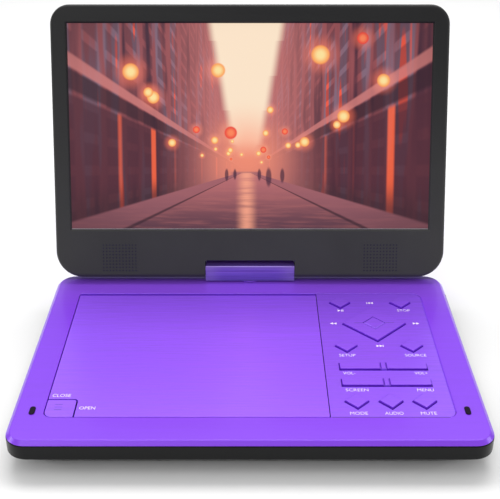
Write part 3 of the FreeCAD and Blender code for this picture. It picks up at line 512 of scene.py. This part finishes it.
class StreetView:
    """Where a spot of the picture lies in the street: the values that its painters share."""

    def __init__(self, g):
        self.uv = g.node("ShaderNodeUVMap", uv_map="picture").outputs[0]
        self.u, self.v, _ = g.parts(self.uv)
        self.du = g.math("SUBTRACT", self.u, VANISH[0])
        self.dv = g.math("SUBTRACT", self.v, VANISH[1])
        self.reach = g.math("MAXIMUM", g.math("ABSOLUTE", self.du), 0.012)
        self.slope = g.math("DIVIDE", self.dv, self.reach)


def length(g, x, y):
    return g.math("SQRT", g.add(g.math("POWER", x, 2.0), g.math("POWER", y, 2.0)))


def house_fronts(g, view):
    """Upright strips, with ledges and windows running to the far end and dark shops under the ledge."""
    slope = view.slope
    depth = g.math("LOGARITHM", view.reach, 2.718)
    sided = g.add(depth, g.mul(g.ramp(view.du, -0.001, 0.001), 7.7))
    tone = g.noise(1.0, 2, 0.55, source=g.joined(g.mul(sided, 9.0), g.mul(slope, 0.35)))
    wall = g.blend(g.ramp(tone, 0.30, 0.48), rgb(0.055, 0.016, 0.035), rgb(0.30, 0.075, 0.085))
    wall = g.blend(g.ramp(tone, 0.50, 0.60), wall, rgb(0.23, 0.135, 0.19))
    wall = g.blend(g.ramp(tone, 0.63, 0.68), wall, rgb(0.92, 0.10, 0.05))
    windows = g.node("ShaderNodeTexBrick", offset=0.0)
    g.put(windows.inputs["Vector"], g.joined(g.mul(sided, 5.2), g.mul(slope, 2.6)))
    for key, value in (("Scale", 1.0), ("Mortar Size", 0.2), ("Mortar Smooth", 0.5),
                       ("Brick Width", 0.8), ("Row Height", 0.95), ("Bias", 0.0)):
        windows.inputs[key].default_value = value
    pane = g.math("SUBTRACT", 1.0, windows.outputs["Fac"])
    wall = g.blend(g.mul(pane, 0.5), wall, rgb(0.07, 0.022, 0.04))
    ledge = g.mul(g.ramp(slope, 1.02, 1.06), g.ramp(slope, 1.20, 1.16))
    wall = g.blend(g.mul(ledge, 0.8), wall, rgb(0.62, 0.20, 0.19))
    shade = g.mul(g.ramp(slope, 0.78, 0.84), g.ramp(slope, 1.04, 1.0))
    wall = g.blend(g.mul(shade, 0.8), wall, rgb(0.035, 0.010, 0.020))
    shop_tone = g.noise(1.0, 1, 0.4, source=g.joined(g.mul(sided, 7.0)))
    shop = g.blend(g.ramp(shop_tone, 0.58, 0.66), rgb(0.075, 0.018, 0.032), rgb(0.95, 0.13, 0.045))
    shop = g.blend(g.mul(g.ramp(slope, -0.1, -0.5), 0.75), shop, rgb(0.035, 0.014, 0.022))
    return g.blend(g.mul(g.ramp(slope, 0.82, 0.74), 0.85), wall, shop)


def far_end(g, view, picture):
    """Haze, the bright gap of sky between the houses and the glow round it."""
    haze = g.ramp(view.reach, 0.26, 0.03)
    picture = g.blend(g.mul(haze, 0.8), picture, rgb(0.62, 0.20, 0.19))
    edge = g.add(0.018, g.mul(g.math("MAXIMUM", view.dv, 0.0), 0.085))
    step = g.mul(g.math("ROUND", g.mul(view.v, 6.0)), 0.004)
    inside = g.math("SUBTRACT", g.add(edge, step), g.math("ABSOLUTE", view.du))
    gap = g.mul(g.ramp(inside, -0.012, 0.016), g.ramp(view.dv, 0.04, 0.16))
    picture = g.blend(gap, picture, rgb(1.0, 0.80, 0.60))
    far = length(g, g.mul(view.du, ASPECT), g.math("SUBTRACT", view.dv, 0.06))
    return g.blend(g.mul(g.ramp(far, 0.30, 0.0), 0.75), picture, rgb(1.0, 0.30, 0.17))


def street(g, view, picture):
    """Road, kerb and pavement, with the warm reflection down the middle."""
    du, dv, slope = view.du, view.dv, view.slope
    near = g.ramp(dv, 0.0, -0.29)
    road = g.blend(near, rgb(0.50, 0.155, 0.165), rgb(0.125, 0.048, 0.070))
    wet = g.noise(22, 3, 0.6, (0.3, 2.2, 1), view.uv)
    road = g.blend(g.mul(g.ramp(wet, 0.42, 0.68), 0.3), road, rgb(0.52, 0.16, 0.15))
    mirror = g.mul(g.ramp(g.math("ABSOLUTE", du), 0.035, 0.0), g.ramp(wet, 0.25, 0.6, 0.35, 0.85))
    road = g.blend(mirror, road, rgb(1.0, 0.40, 0.26))
    pavement = g.ramp(slope, -0.86, -0.80)
    road = g.blend(g.mul(pavement, 0.6), road, rgb(0.30, 0.105, 0.13))
    kerb = g.mul(g.ramp(slope, -0.90, -0.87), g.ramp(slope, -0.82, -0.85))
    road = g.blend(g.mul(kerb, 0.75), road, rgb(0.04, 0.015, 0.025))
    below = g.ramp(dv, 0.0, -0.012)
    ground = g.math("MAXIMUM", g.mul(g.ramp(slope, -0.50, -0.54), below),
                    g.mul(below, g.ramp(view.reach, 0.05, 0.03)))
    return g.blend(ground, picture, road)


def walkers(g, view, picture):
    """Far-off walkers as soft upright blurs."""
    for x, height in ((-0.055, 0.060), (-0.032, 0.052), (0.036, 0.058), (0.062, 0.092), (0.10, 0.070)):
        blur = length(g, g.mul(g.math("SUBTRACT", view.du, x), 5.2 * ASPECT),
                      g.mul(g.math("ADD", view.dv, height * 0.35), 1.6))
        picture = g.blend(g.mul(g.ramp(blur, height, height * 0.55), 0.8), picture, rgb(0.06, 0.02, 0.045))
    return picture


def lanterns(g, view, picture):
    """Each lantern is a glow, a red or amber paper ball and a pale heart."""
    amber_paper = (rgb(1.0, 0.34, 0.08), rgb(1.0, 0.78, 0.34))
    red_paper = (rgb(0.85, 0.05, 0.035), rgb(1.0, 0.24, 0.10))
    wide = g.joined(g.mul(view.u, ASPECT), view.v)
    for x, y, radius, amber in reversed(lantern_rows()):
        away = g.node("ShaderNodeVectorMath", operation="DISTANCE")
        g.put(away.inputs[0], wide)
        away.inputs[1].default_value = (x * ASPECT, y, 0)
        gone = away.outputs["Value"]
        picture = g.blend(g.ramp(gone, radius * 2.4, radius * 0.7, 0.0, 0.45), picture,
                          rgb(1.0, 0.16, 0.06), "SCREEN")
        rim, heart = amber_paper if amber else red_paper
        ball = g.blend(g.ramp(gone, radius, radius * 0.2), rim, heart)
        picture = g.blend(g.ramp(gone, radius * 1.05, radius * 0.8), picture, ball)
    return picture


def screen_material(name):
    """An evening street with paper lanterns, painted by formulas over the screen's own grid."""
    g = Graph(name)
    view = StreetView(g)
    picture = house_fronts(g, view)
    for painter in (far_end, street, walkers, lanterns):
        picture = painter(g, view, picture)
    corner = length(g, g.math("SUBTRACT", view.u, 0.5), g.math("SUBTRACT", view.v, 0.52))
    picture = g.blend(g.ramp(corner, 0.42, 0.80, 0.0, 0.45), picture, rgb(0.05, 0.014, 0.02))
    g.set(Base_Color=rgb(0.01, 0.01, 0.012), Roughness=0.3, Emission_Color=picture,
          Emission_Strength=0.95, Specular_IOR_Level=0.1)
    return g.material


# ================================================================ materials in use
LOOK = {
    "deck": satin_purple("deck_purple"),
    "hinge": satin_purple("hinge_purple", 1.0, (0.17, 0.085, 0.50)),
    "lidback": brushed_purple("lid_back_purple"),
    "brushed": brushed_purple("brushed_purple"),
    "panel": brushed_purple("panel_purple", 0.92),
    "keys": brushed_purple("key_purple", 0.93),
    # painted shade: a darker purple for the keys' side faces, for the shade on them and in the gaps round
    # them
    "shaded_key_sides": moulded("key_side_shade_purple", (0.100, 0.012, 0.46), 0.5, specular=0.15),
    "hub": satin_purple("hub_purple", 0.8),
    # painted shade: a darker purple for the deck's rear wall, under the lid
    "rear": moulded("rear_shade_purple", (0.070, 0.014, 0.27), 0.6, specular=0.1),
    "bracket": bracket_purple("bracket_purple"),
    # painted shade: a darker purple for the hinge cover's flat top and underside, for the shade in the lid's
    # notch
    "bracket_top": moulded("shaded_bracket_top_purple", (0.085, 0.042, 0.25), 0.5, specular=0.15),
    # painted highlight: a pale grey for a strip along the screen opening's lower edge
    "sill": moulded("edge_highlight_grey", (0.26, 0.24, 0.24), 0.5),
    "soft_line": moulded("soft_line_purple", (0.150, 0.030, 0.60), 0.5, specular=0.2),
    "grille_cloth": rubber("grille_cloth", (0.010, 0.010, 0.030), 0.8),
    "charcoal": moulded("charcoal_case", (0.0016, 0.0018, 0.0022), 0.28, depth=1.5e-6, specular=0.1,
                        coat=0.22),
    "bezel": bezel_plastic("bezel_charcoal"),
    "black": moulded("black_plastic", (0.012, 0.012, 0.013), 0.42),
    "well": moulded("well_black", (0.014, 0.014, 0.016), 0.5, 1700, 1.2e-5),
    "acetal": moulded("acetal", (0.62, 0.61, 0.58), 0.4, 2000, 4e-6, 0.06),
    "diffuser": moulded("diffuser", (0.75, 0.75, 0.74), 0.6, 1500, 4e-6, 0.05),
    "rubber": rubber("foot_rubber", (0.018, 0.018, 0.019)),
    "bumper": moulded("bumper_rubber", (0.006, 0.0015, 0.014), 0.6, specular=0.12),
    "silicone": rubber("silicone", (0.32, 0.32, 0.33), 0.5),
    "cable": rubber("cable_sheath", (0.012, 0.012, 0.013), 0.5),
    "cone": rubber("speaker_cone", (0.016, 0.016, 0.017), 0.8),
    "steel": metal("ground_steel", (0.56, 0.56, 0.58), 0.26),
    "dark_steel": metal("blackened_steel", (0.09, 0.09, 0.095), 0.36, (900, 900, 900), 0.2),
    "zinc": metal("zinc_sheet", (0.50, 0.52, 0.55), 0.4, (300, 340, 300), 0.16),
    "board": circuit("circuit_board"),
    "cell": wrapped_cell("cell_wrap"),
    "ink": white_ink("white_print"),
    "lens": lens_material("lens_coating"),
    "lamp": light_pipe("light_pipe", (0.12, 0.75, 0.25)),
    "screen": screen_material("evening_street"),
    "groove": moulded("groove_purple", (0.040, 0.008, 0.17), 0.5),
}


# ================================================================ CAD nodes
def deck_shell():
    """The upper shell, rounded all over but at the rear, whose wall takes a darker purple as painted shade
    from the lid.
    """
    shell = softened("base_upper_case", LOOK["deck"], 0.35 * MM, only=lambda at: at.y < CASE_HIGH.y - 3 * MM)
    # painted shade on the rear wall's faces
    shell.data.materials.append(LOOK["rear"])
    for face in shell.data.polygons:
        if face.normal.y > 0.5 and face.center.y > CASE_HIGH.y - 4 * MM:
            face.material_index = 1


def door_skin():
    """The disc door, rounded along its top edges but for those beside the hinge."""
    top, hinge_side = DOOR_HIGH.z - 0.05 * MM, DOOR_HIGH.y - 5 * MM
    softened("disc_door", LOOK["brushed"], 0.15 * MM, only=lambda at: at.z > top and at.y < hinge_side)


softened("base_lower_case", LOOK["charcoal"], 0.45 * MM)
softened("front_bezel", LOOK["bezel"], 0.3 * MM)
deck_shell()
softened("lid_back_cover", LOOK["lidback"], 0.25 * MM)
softened("button_panel", LOOK["panel"], 0.12 * MM, 1)
door_skin()
softened("open_button", LOOK["brushed"], 0.2 * MM)
for key in ("play_key", "stop_key", "setup_key", "source_key", "enter_key", "mode_key", "audio_key",
            "mute_key", "nav_pad"):
    # the keys' side faces take the darker purple as painted shade
    softened(key, LOOK["keys"], 0.1 * MM, sides=LOOK["shaded_key_sides"], steep=0.5 if key == "enter_key" else 0.9)
# the hinge cover's flat faces take the darker purple as painted shade; its sides take the banded purple with
# painted light
softened("hinge_cover_front", LOOK["bracket_top"], 0.3 * MM, sides=LOOK["bracket"], steep=0.75)
softened("hinge_cover_rear", LOOK["hinge"], 0.35 * MM)
softened("swivel_hub", LOOK["hub"], 0.15 * MM)
softened("rubber_feet", LOOK["rubber"], 0.35 * MM, 3)
softened("deck_bumpers", LOOK["bumper"], 0.35 * MM, 3)
for node in ("headphone_jack", "av_jack", "dc_jack", "power_switch"):
    softened(node, LOOK["black"], 0.18 * MM)
softened("turntable", LOOK["well"], 0.2 * MM)
softened("disc_well", LOOK["well"], 0.3 * MM)

PAINT = {
    "steel": ("guide_rails", "lead_screw", "door_catch", "hinge_shafts", "hinge_leaves",
              "swivel_clip", "usb_port", "card_slot", "spindle_motor", "feed_motor"),
    "dark_steel": ("case_screws", "lid_screws", "door_hinge_pins"),
    "zinc": ("loader_frame",),
    "board": ("main_board", "key_board", "lcd_driver_board"),
    "cell": ("battery_pack",),
    "silicone": ("key_domes", "nav_rubber_pad", "loader_dampers"),
    "acetal": ("pickup_sled", "swivel_bush"),
    "well": ("door_latch_hook",),
    "lens": ("objective_lens",),
    "cable": ("hinge_cable",),
    "diffuser": ("lcd_backlight",),
    "cone": ("speakers",),
    "lamp": ("status_lights",),
    "black": ("lcd_panel",),
}
for material, nodes in PAINT.items():
    for node in nodes:
        paint(node, LOOK[material])


# ================================================================ rockers
def rocker_skin(node):
    """A rocker bar whose middle tab stands between two grooves."""
    low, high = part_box(node)
    middle = (low.x + high.x) / 2
    top, shoulder = high.z, high.z - 0.45 * MM
    base = NAV_LOW.z
    tab, groove, inset, corner, edge = 1.5 * MM, 0.4 * MM, 0.3 * MM, 1.2 * MM, 0.35 * MM
    bm = bmesh.new()
    bars = ((low.x, middle - tab - groove, corner, edge), (middle - tab, middle + tab, edge, edge),
            (middle + tab + groove, high.x, edge, corner))
    for x0, x1, left, right in bars:
        outer = rounded(x0, x1, low.y, high.y, left, right)
        crown = rounded(x0 + inset, x1 - inset, low.y + inset, high.y - inset, max(left - inset, 0.05 * MM),
                        max(right - inset, 0.05 * MM))
        stack(bm, ((outer, base), (outer, shoulder), (crown, top)))
    core = rounded(low.x + inset, high.x - inset, low.y + inset, high.y - inset, corner, corner)
    stack(bm, ((core, base), (core, shoulder - 0.4 * MM)))
    obj = add_mesh(node + "_skin", bm)
    bevel = obj.modifiers.new("edges", "BEVEL")
    bevel.width = 0.1 * MM
    bevel.segments = 2
    bevel.limit_method = "ANGLE"
    obj.data.shade_smooth()
    bevel.harden_normals = True
    finish_piece(obj, node, LOOK["keys"], [node])
    # painted shade: the rocker's side faces, but for the tab's, take the darker purple
    obj.data.materials.append(LOOK["shaded_key_sides"])
    for face in obj.data.polygons:
        off_tab = abs(face.center.x - middle) > tab * 0.9
        face.material_index = 1 if abs(face.normal.z) < 0.62 and off_tab else 0


for node in ("volume_rocker", "menu_rocker"):
    rocker_skin(node)


# ================================================================ lid details
def to_lid(bm):
    """Take a mesh drawn flat (x, up the lid, out of the face) onto the lid's face."""
    turn = Matrix.Rotation(math.radians(90), 4, "X")
    bmesh.ops.transform(bm, matrix=LID_FRAME @ Matrix.Translation((0, LID_FACE, 0)) @ turn, verts=bm.verts)


def screen_picture():
    """The glowing picture: a thin grid sunk behind the bezel's face."""
    depth = -1.58 * MM
    bm = bmesh.new()
    layer = bm.loops.layers.uv.new("picture")
    columns, rows = 32, 18
    grid = [[bm.verts.new((-SCREEN_HALF + 2 * SCREEN_HALF * i / columns,
                           SCREEN_LOW + (SCREEN_HIGH - SCREEN_LOW) * j / rows, depth))
             for i in range(columns + 1)] for j in range(rows + 1)]
    for j in range(rows):
        for i in range(columns):
            face = bm.faces.new((grid[j][i], grid[j][i + 1], grid[j + 1][i + 1], grid[j + 1][i]))
            for loop, (di, dj) in zip(face.loops, ((0, 0), (1, 0), (1, 1), (0, 1))):
                loop[layer].uv = ((i + di) / columns, (j + dj) / rows)
    rim = [edge for edge in bm.edges if edge.is_boundary]
    lower = bmesh.ops.extrude_edge_only(bm, edges=rim)
    bmesh.ops.translate(bm, verts=[v for v in lower["geom"] if isinstance(v, bmesh.types.BMVert)],
                        vec=(0, 0, -0.01 * MM))
    to_lid(bm)
    obj = add_mesh("screen_picture", bm)
    finish_piece(obj, "lid", LOOK["screen"])


def screen_edge_highlight():
    """A pale strip along the lower ledge of the screen's opening: a painted highlight where that edge
    catches the light.
    """
    bm = bmesh.new()
    slab(bm, -SCREEN_HALF, SCREEN_HALF, SCREEN_LOW - 0.05 * MM, SCREEN_LOW + 0.45 * MM, -1.5 * MM, -0.6 * MM)
    bmesh.ops.recalc_face_normals(bm, faces=bm.faces)
    to_lid(bm)
    finish_piece(add_mesh("screen_edge_highlight", bm), "lid", LOOK["sill"])


SPEAKER_X, SPEAKER_S = 89.0 * MM, 9.0 * MM      # a grille's centre, across and up the lid
PITCH, HOLE_RADIUS, HOLE_STEPS = 2.2 * MM, 0.55 * MM, 12
HOLE_COLUMNS, HOLE_ROWS = 11, 9
PLATE_TOP, PLATE_UNDER = 0.02 * MM, -0.1 * MM


def pinhole_cell(bm, cx, cy):
    """One square cell of the plate with a round hole in it."""
    rings = []
    for i in range(HOLE_STEPS):
        angle = math.tau * (i + 0.5) / HOLE_STEPS
        c, s = math.cos(angle), math.sin(angle)
        stretch = PITCH / 2 / max(abs(c), abs(s))
        rings.append([bm.verts.new((cx + stretch * c, cy + stretch * s, PLATE_TOP)),
                      bm.verts.new((cx + HOLE_RADIUS * c, cy + HOLE_RADIUS * s, PLATE_TOP)),
                      bm.verts.new((cx + HOLE_RADIUS * c, cy + HOLE_RADIUS * s, PLATE_UNDER))])
    for i in range(HOLE_STEPS):
        here, there = rings[i], rings[(i + 1) % HOLE_STEPS]
        angle = math.tau * (i + 1) / HOLE_STEPS
        c, s = math.cos(angle), math.sin(angle)
        bm.faces.new((here[0], there[0], there[1], here[1]))
        bm.faces.new((here[1], there[1], there[2], here[2]))
        if abs(abs(c) - abs(s)) < 0.4:
            corner = (cx + math.copysign(PITCH / 2, c), cy + math.copysign(PITCH / 2, s), PLATE_TOP)
            bm.faces.new((here[0], bm.verts.new(corner), there[0]))


def pinhole_plate(side):
    """A plate of round pinholes inside a plain border."""
    centre_x, border = side * SPEAKER_X, 1.5 * MM
    half_x, half_s = HOLE_COLUMNS * PITCH / 2, HOLE_ROWS * PITCH / 2
    bm = bmesh.new()
    for row in range(HOLE_ROWS):
        for column in range(HOLE_COLUMNS):
            pinhole_cell(bm, centre_x + (column - (HOLE_COLUMNS - 1) / 2) * PITCH,
                         SPEAKER_S + (row - (HOLE_ROWS - 1) / 2) * PITCH)
    for dx, ds, wide, tall in ((0, 1, half_x + border, border / 2), (0, -1, half_x + border, border / 2),
                               (1, 0, border / 2, half_s), (-1, 0, border / 2, half_s)):
        x, s = centre_x + dx * (half_x + border / 2), SPEAKER_S + ds * (half_s + border / 2)
        slab(bm, x - wide, x + wide, s - tall, s + tall, -0.05 * MM, PLATE_TOP)
    bmesh.ops.remove_doubles(bm, verts=bm.verts, dist=1e-6)
    bmesh.ops.recalc_face_normals(bm, faces=bm.faces)
    to_lid(bm)
    return bm


def speaker_cloth(side):
    """The cloth behind a plate's pinholes."""
    bm = bmesh.new()
    x, wide, tall = side * SPEAKER_X, 11.8 * MM, 10.2 * MM
    slab(bm, x - wide, x + wide, SPEAKER_S - tall, SPEAKER_S + tall, PLATE_UNDER - 0.1 * MM, PLATE_UNDER)
    bmesh.ops.recalc_face_normals(bm, faces=bm.faces)
    to_lid(bm)
    return bm


def speaker_plates():
    """Both plates and their cloths; the left plate stands for the node with both grilles."""
    for side, name in ((-1, "left"), (1, "right")):
        cloth = add_mesh("grille_cloth_" + name, speaker_cloth(side))
        finish_piece(cloth, "lid", LOOK["grille_cloth"])
        obj = add_mesh("pinholes_" + name, pinhole_plate(side))
        finish_piece(obj, "lid", LOOK["bezel"], ["speaker_grilles"] if side < 0 else ())


screen_picture()
screen_edge_highlight()
speaker_plates()


# ================================================================ printed marks
# Spots here are in millimetres: x from the middle of the deck, y back from the front edge.
def label(name, text, x, y, width, height=2.6, z=PANEL_HIGH.z, body="base", weight=-0.006):
    """Printed lettering, scaled to a width and height, centred on its spot; weight widens its strokes."""
    curve = bpy.data.curves.new(name, "FONT")
    curve.body = text
    curve.size = 1.0
    curve.resolution_u = 4
    curve.offset = weight
    source = bpy.data.objects.new(name + "_text", curve)
    bpy.context.scene.collection.objects.link(source)
    bpy.context.view_layer.update()
    mesh = bpy.data.meshes.new_from_object(source)
    bpy.data.objects.remove(source)
    xs = [v.co.x for v in mesh.vertices]
    ys = [v.co.y for v in mesh.vertices]
    scale_x = width * MM / (max(xs) - min(xs))
    scale_y = height * MM / (max(ys) - min(ys))
    shift = Matrix.Translation((-(max(xs) + min(xs)) / 2, -(max(ys) + min(ys)) / 2, 0))
    mesh.transform(Matrix.Diagonal((scale_x, scale_y, 1, 1)) @ shift)
    obj = bpy.data.objects.new(name, mesh)
    bpy.context.scene.collection.objects.link(obj)
    obj.location = (x * MM, FRONT_Y + y * MM, z + 0.02 * MM)
    finish_piece(obj, body, LOOK["ink"])


LABELS = (
    ("STOP", 100.5, 133.9, 8.3), ("SETUP", 59.1, 82.3, 9.9), ("SOURCE", 100.6, 82.3, 13.0),
    ("VOL-", 58.5, 63.8, 7.2), ("VOL+", 100.9, 63.8, 7.6), ("SCREEN", 61.5, 47.3, 13.0),
    ("MENU", 100.8, 47.3, 9.5), ("MODE", 60.5, 25.8, 9.9), ("AUDIO", 80.0, 25.8, 10.2),
    ("MUTE", 99.2, 25.8, 8.9),
)
for text, x, y, width in LABELS:
    tag = text.replace("-", "_down").replace("+", "_up").lower()
    label("label_" + tag, text, x, y, width)
label("label_close", "CLOSE", -107.1, 41.9, 10.4, 2.7, DOOR_HIGH.z, "door", -0.002)
label("label_open", "OPEN", -90.9, 30.4, 8.9, z=DOOR_HIGH.z, body="door", weight=0.0)


def symbol(name, x, y, marks):
    """A transport sign from triangles and bars: each mark is (kind, centre x, half width)."""
    bm = bmesh.new()
    half = 1.15 * MM
    low, high = PANEL_HIGH.z + 0.01 * MM, PANEL_HIGH.z + 0.035 * MM
    for kind, cx, w in marks:
        cx, w = (x + cx) * MM, w * MM
        cy = FRONT_Y + y * MM
        if kind == "bar":
            points = ((cx - w, cy - half), (cx + w, cy - half), (cx + w, cy + half), (cx - w, cy + half))
        elif kind == "right":
            points = ((cx - w, cy - half), (cx + w, cy), (cx - w, cy + half))
        else:
            points = ((cx + w, cy - half), (cx + w, cy + half), (cx - w, cy))
        flat_shape(bm, points, low, high)
    finish_piece(add_mesh(name, bm), "base", LOOK["ink"])


symbol("sign_play", 59.3, 133.7, (("right", -0.9, 1.0), ("bar", 0.75, 0.25), ("bar", 1.6, 0.25)))
symbol("sign_previous", 79.6, 143.2, (("bar", -2.2, 0.22), ("left", -0.95, 0.95), ("left", 1.0, 0.95)))
symbol("sign_rewind", 53.3, 118.1, (("left", -1.1, 1.05), ("left", 1.1, 1.05)))
symbol("sign_forward", 106.4, 118.1, (("right", -1.1, 1.05), ("right", 1.1, 1.05)))
symbol("sign_next", 79.9, 92.4, (("right", -1.0, 0.95), ("right", 0.95, 0.95), ("bar", 2.2, 0.22)))


def dark_strips(name, body, strips):
    """Fine moulded lines, each given as centre x, centre y, half length, half width and surface height."""
    bm = bmesh.new()
    for x, y, half_x, half_y, z in strips:
        cy, radius = FRONT_Y + y * MM, half_y * 0.9 * MM
        outline = rounded((x - half_x) * MM, (x + half_x) * MM, cy - half_y * MM, cy + half_y * MM,
                          radius, radius)
        flat_shape(bm, outline, z - 0.05 * MM, z + 0.02 * MM)
    finish_piece(add_mesh(name, bm), body, LOOK["groove"])


def nav_lines():
    """A fine line to each side of the enter key."""
    middle = (NAV_LOW.x + NAV_HIGH.x) / 2 / MM
    y = ((NAV_LOW.y + NAV_HIGH.y) / 2 - FRONT_Y) / MM
    dark_strips("nav_lines", "nav_pad",
                [(middle + side * 10.2, y, 2.6, 0.16, NAV_HIGH.z) for side in (-1, 1)])


def button_lines():
    """Three grip lines on the open button."""
    x, back = (BUTTON_LOW.x + BUTTON_HIGH.x) / 2 / MM - 1.2, (BUTTON_HIGH.y - FRONT_Y) / MM
    dark_strips("button_lines", "open_button",
                [(x, back - drop, 2.2, 0.16, BUTTON_HIGH.z) for drop in (4.2, 6.6, 9.0)])


def panel_edges():
    """The seam in front of the button panel, dark, and the soft one beside it."""
    flange_x, flange_y = 2.0, 2.5       # how far the panel's hidden flange runs past its visible face
    left, right = DOOR_HIGH.x / MM, PANEL_HIGH.x / MM - flange_x
    front, back = (PANEL_LOW.y - FRONT_Y) / MM + flange_y, (PANEL_HIGH.y - FRONT_Y) / MM - flange_y
    middle, half = (left + right) / 2 - 1.5, (right - left) / 2 - 2.5
    dark_strips("panel_seam", "base", [(middle, front - 0.05, half, 0.2, DECK_Z)])
    bm = bmesh.new()
    slab(bm, (right - 0.35) * MM, (right + 0.35) * MM, FRONT_Y + (front + 5) * MM, FRONT_Y + (back - 5) * MM,
         DECK_Z - 0.3 * MM, DECK_Z + 0.01 * MM)
    bmesh.ops.recalc_face_normals(bm, faces=bm.faces)
    finish_piece(add_mesh("panel_side_seam", bm), "base", LOOK["soft_line"])


nav_lines()
button_lines()
panel_edges()


# ================================================================ floor, light, camera
def stage_floor():
    """A plain pale floor that reaches far past the frame."""
    bm = bmesh.new()
    bmesh.ops.create_grid(bm, x_segments=8, y_segments=8, size=8.0)
    obj = add_mesh("floor", bm)
    g = Graph("pale_floor")
    g.set(Base_Color=g.gray(g.ramp(g.noise(3, 2, 0.5), 0.3, 0.7, 0.765, 0.78)), Roughness=0.9,
          Specular_IOR_Level=0.1)
    obj.data.materials.append(g.material)


def softbox(name, where, aim, size, power):
    """A white rectangular light that points at a spot."""
    light = bpy.data.lights.new(name, "AREA")
    light.shape = "RECTANGLE"
    light.size, light.size_y = size
    light.energy = power
    obj = bpy.data.objects.new(name, light)
    obj.location = where
    obj.rotation_euler = (Vector(aim) - Vector(where)).to_track_quat("-Z", "Y").to_euler()
    bpy.context.scene.collection.objects.link(obj)


def stage_camera():
    """A long lens in front of the middle of the deck, looking down at it."""
    back, up, down_angle = 394.3 * MM, 328.8 * MM, 28.05
    data = bpy.data.cameras.new("camera")
    data.lens = 68.11
    data.sensor_width = 36.0
    obj = bpy.data.objects.new("camera", data)
    obj.location = (0, FRONT_Y - back, PARTING_Z + up)
    obj.rotation_euler = Euler((math.radians(90 - down_angle), 0, 0))
    bpy.context.scene.collection.objects.link(obj)
    bpy.context.scene.camera = obj


def stage_lights():
    """A big soft light behind and above, a weak one in front on the left and a low one at each side."""
    softbox("top_light", (0.0, 0.58, 1.28), (0, -0.05, 0.02), (1.3, 0.5), 14.2)
    softbox("front_light", (-0.6, -1.3, 1.0), (0, 0, 0.05), (1.0, 0.6), 4.5)
    for name, side in (("left", -1), ("right", 1)):
        softbox("side_light_" + name, (side * 1.3, -0.1, 0.45), (0, 0, 0.02), (0.5, 0.3), 2.5)


def stage_world():
    """White surroundings, dimmer near the horizon, that the camera itself sees as even white."""
    world = bpy.data.worlds.new("world")
    world.use_nodes = True
    nodes, links = world.node_tree.nodes, world.node_tree.links
    direction = nodes.new("ShaderNodeTexCoord")
    heading = nodes.new("ShaderNodeSeparateXYZ")
    level = nodes.new("ShaderNodeMapRange")
    level.interpolation_type = "SMOOTHSTEP"
    for socket, value in zip(level.inputs[1:5], (0.0, 0.8, 0.22, 0.87)):
        socket.default_value = value
    links.new(direction.outputs["Generated"], heading.inputs[0])
    links.new(heading.outputs[2], level.inputs[0])
    rays = nodes.new("ShaderNodeLightPath")
    seen = nodes.new("ShaderNodeMix")
    seen.inputs[3].default_value = 0.9
    links.new(rays.outputs["Is Camera Ray"], seen.inputs[0])
    links.new(level.outputs[0], seen.inputs[2])
    links.new(seen.outputs[0], nodes["Background"].inputs[1])
    nodes["Background"].inputs[0].default_value = rgb(1, 1, 1)
    bpy.context.scene.world = world


stage_floor()
stage_camera()
stage_lights()
stage_world()
bpy.context.scene.view_settings.view_transform = "Standard"
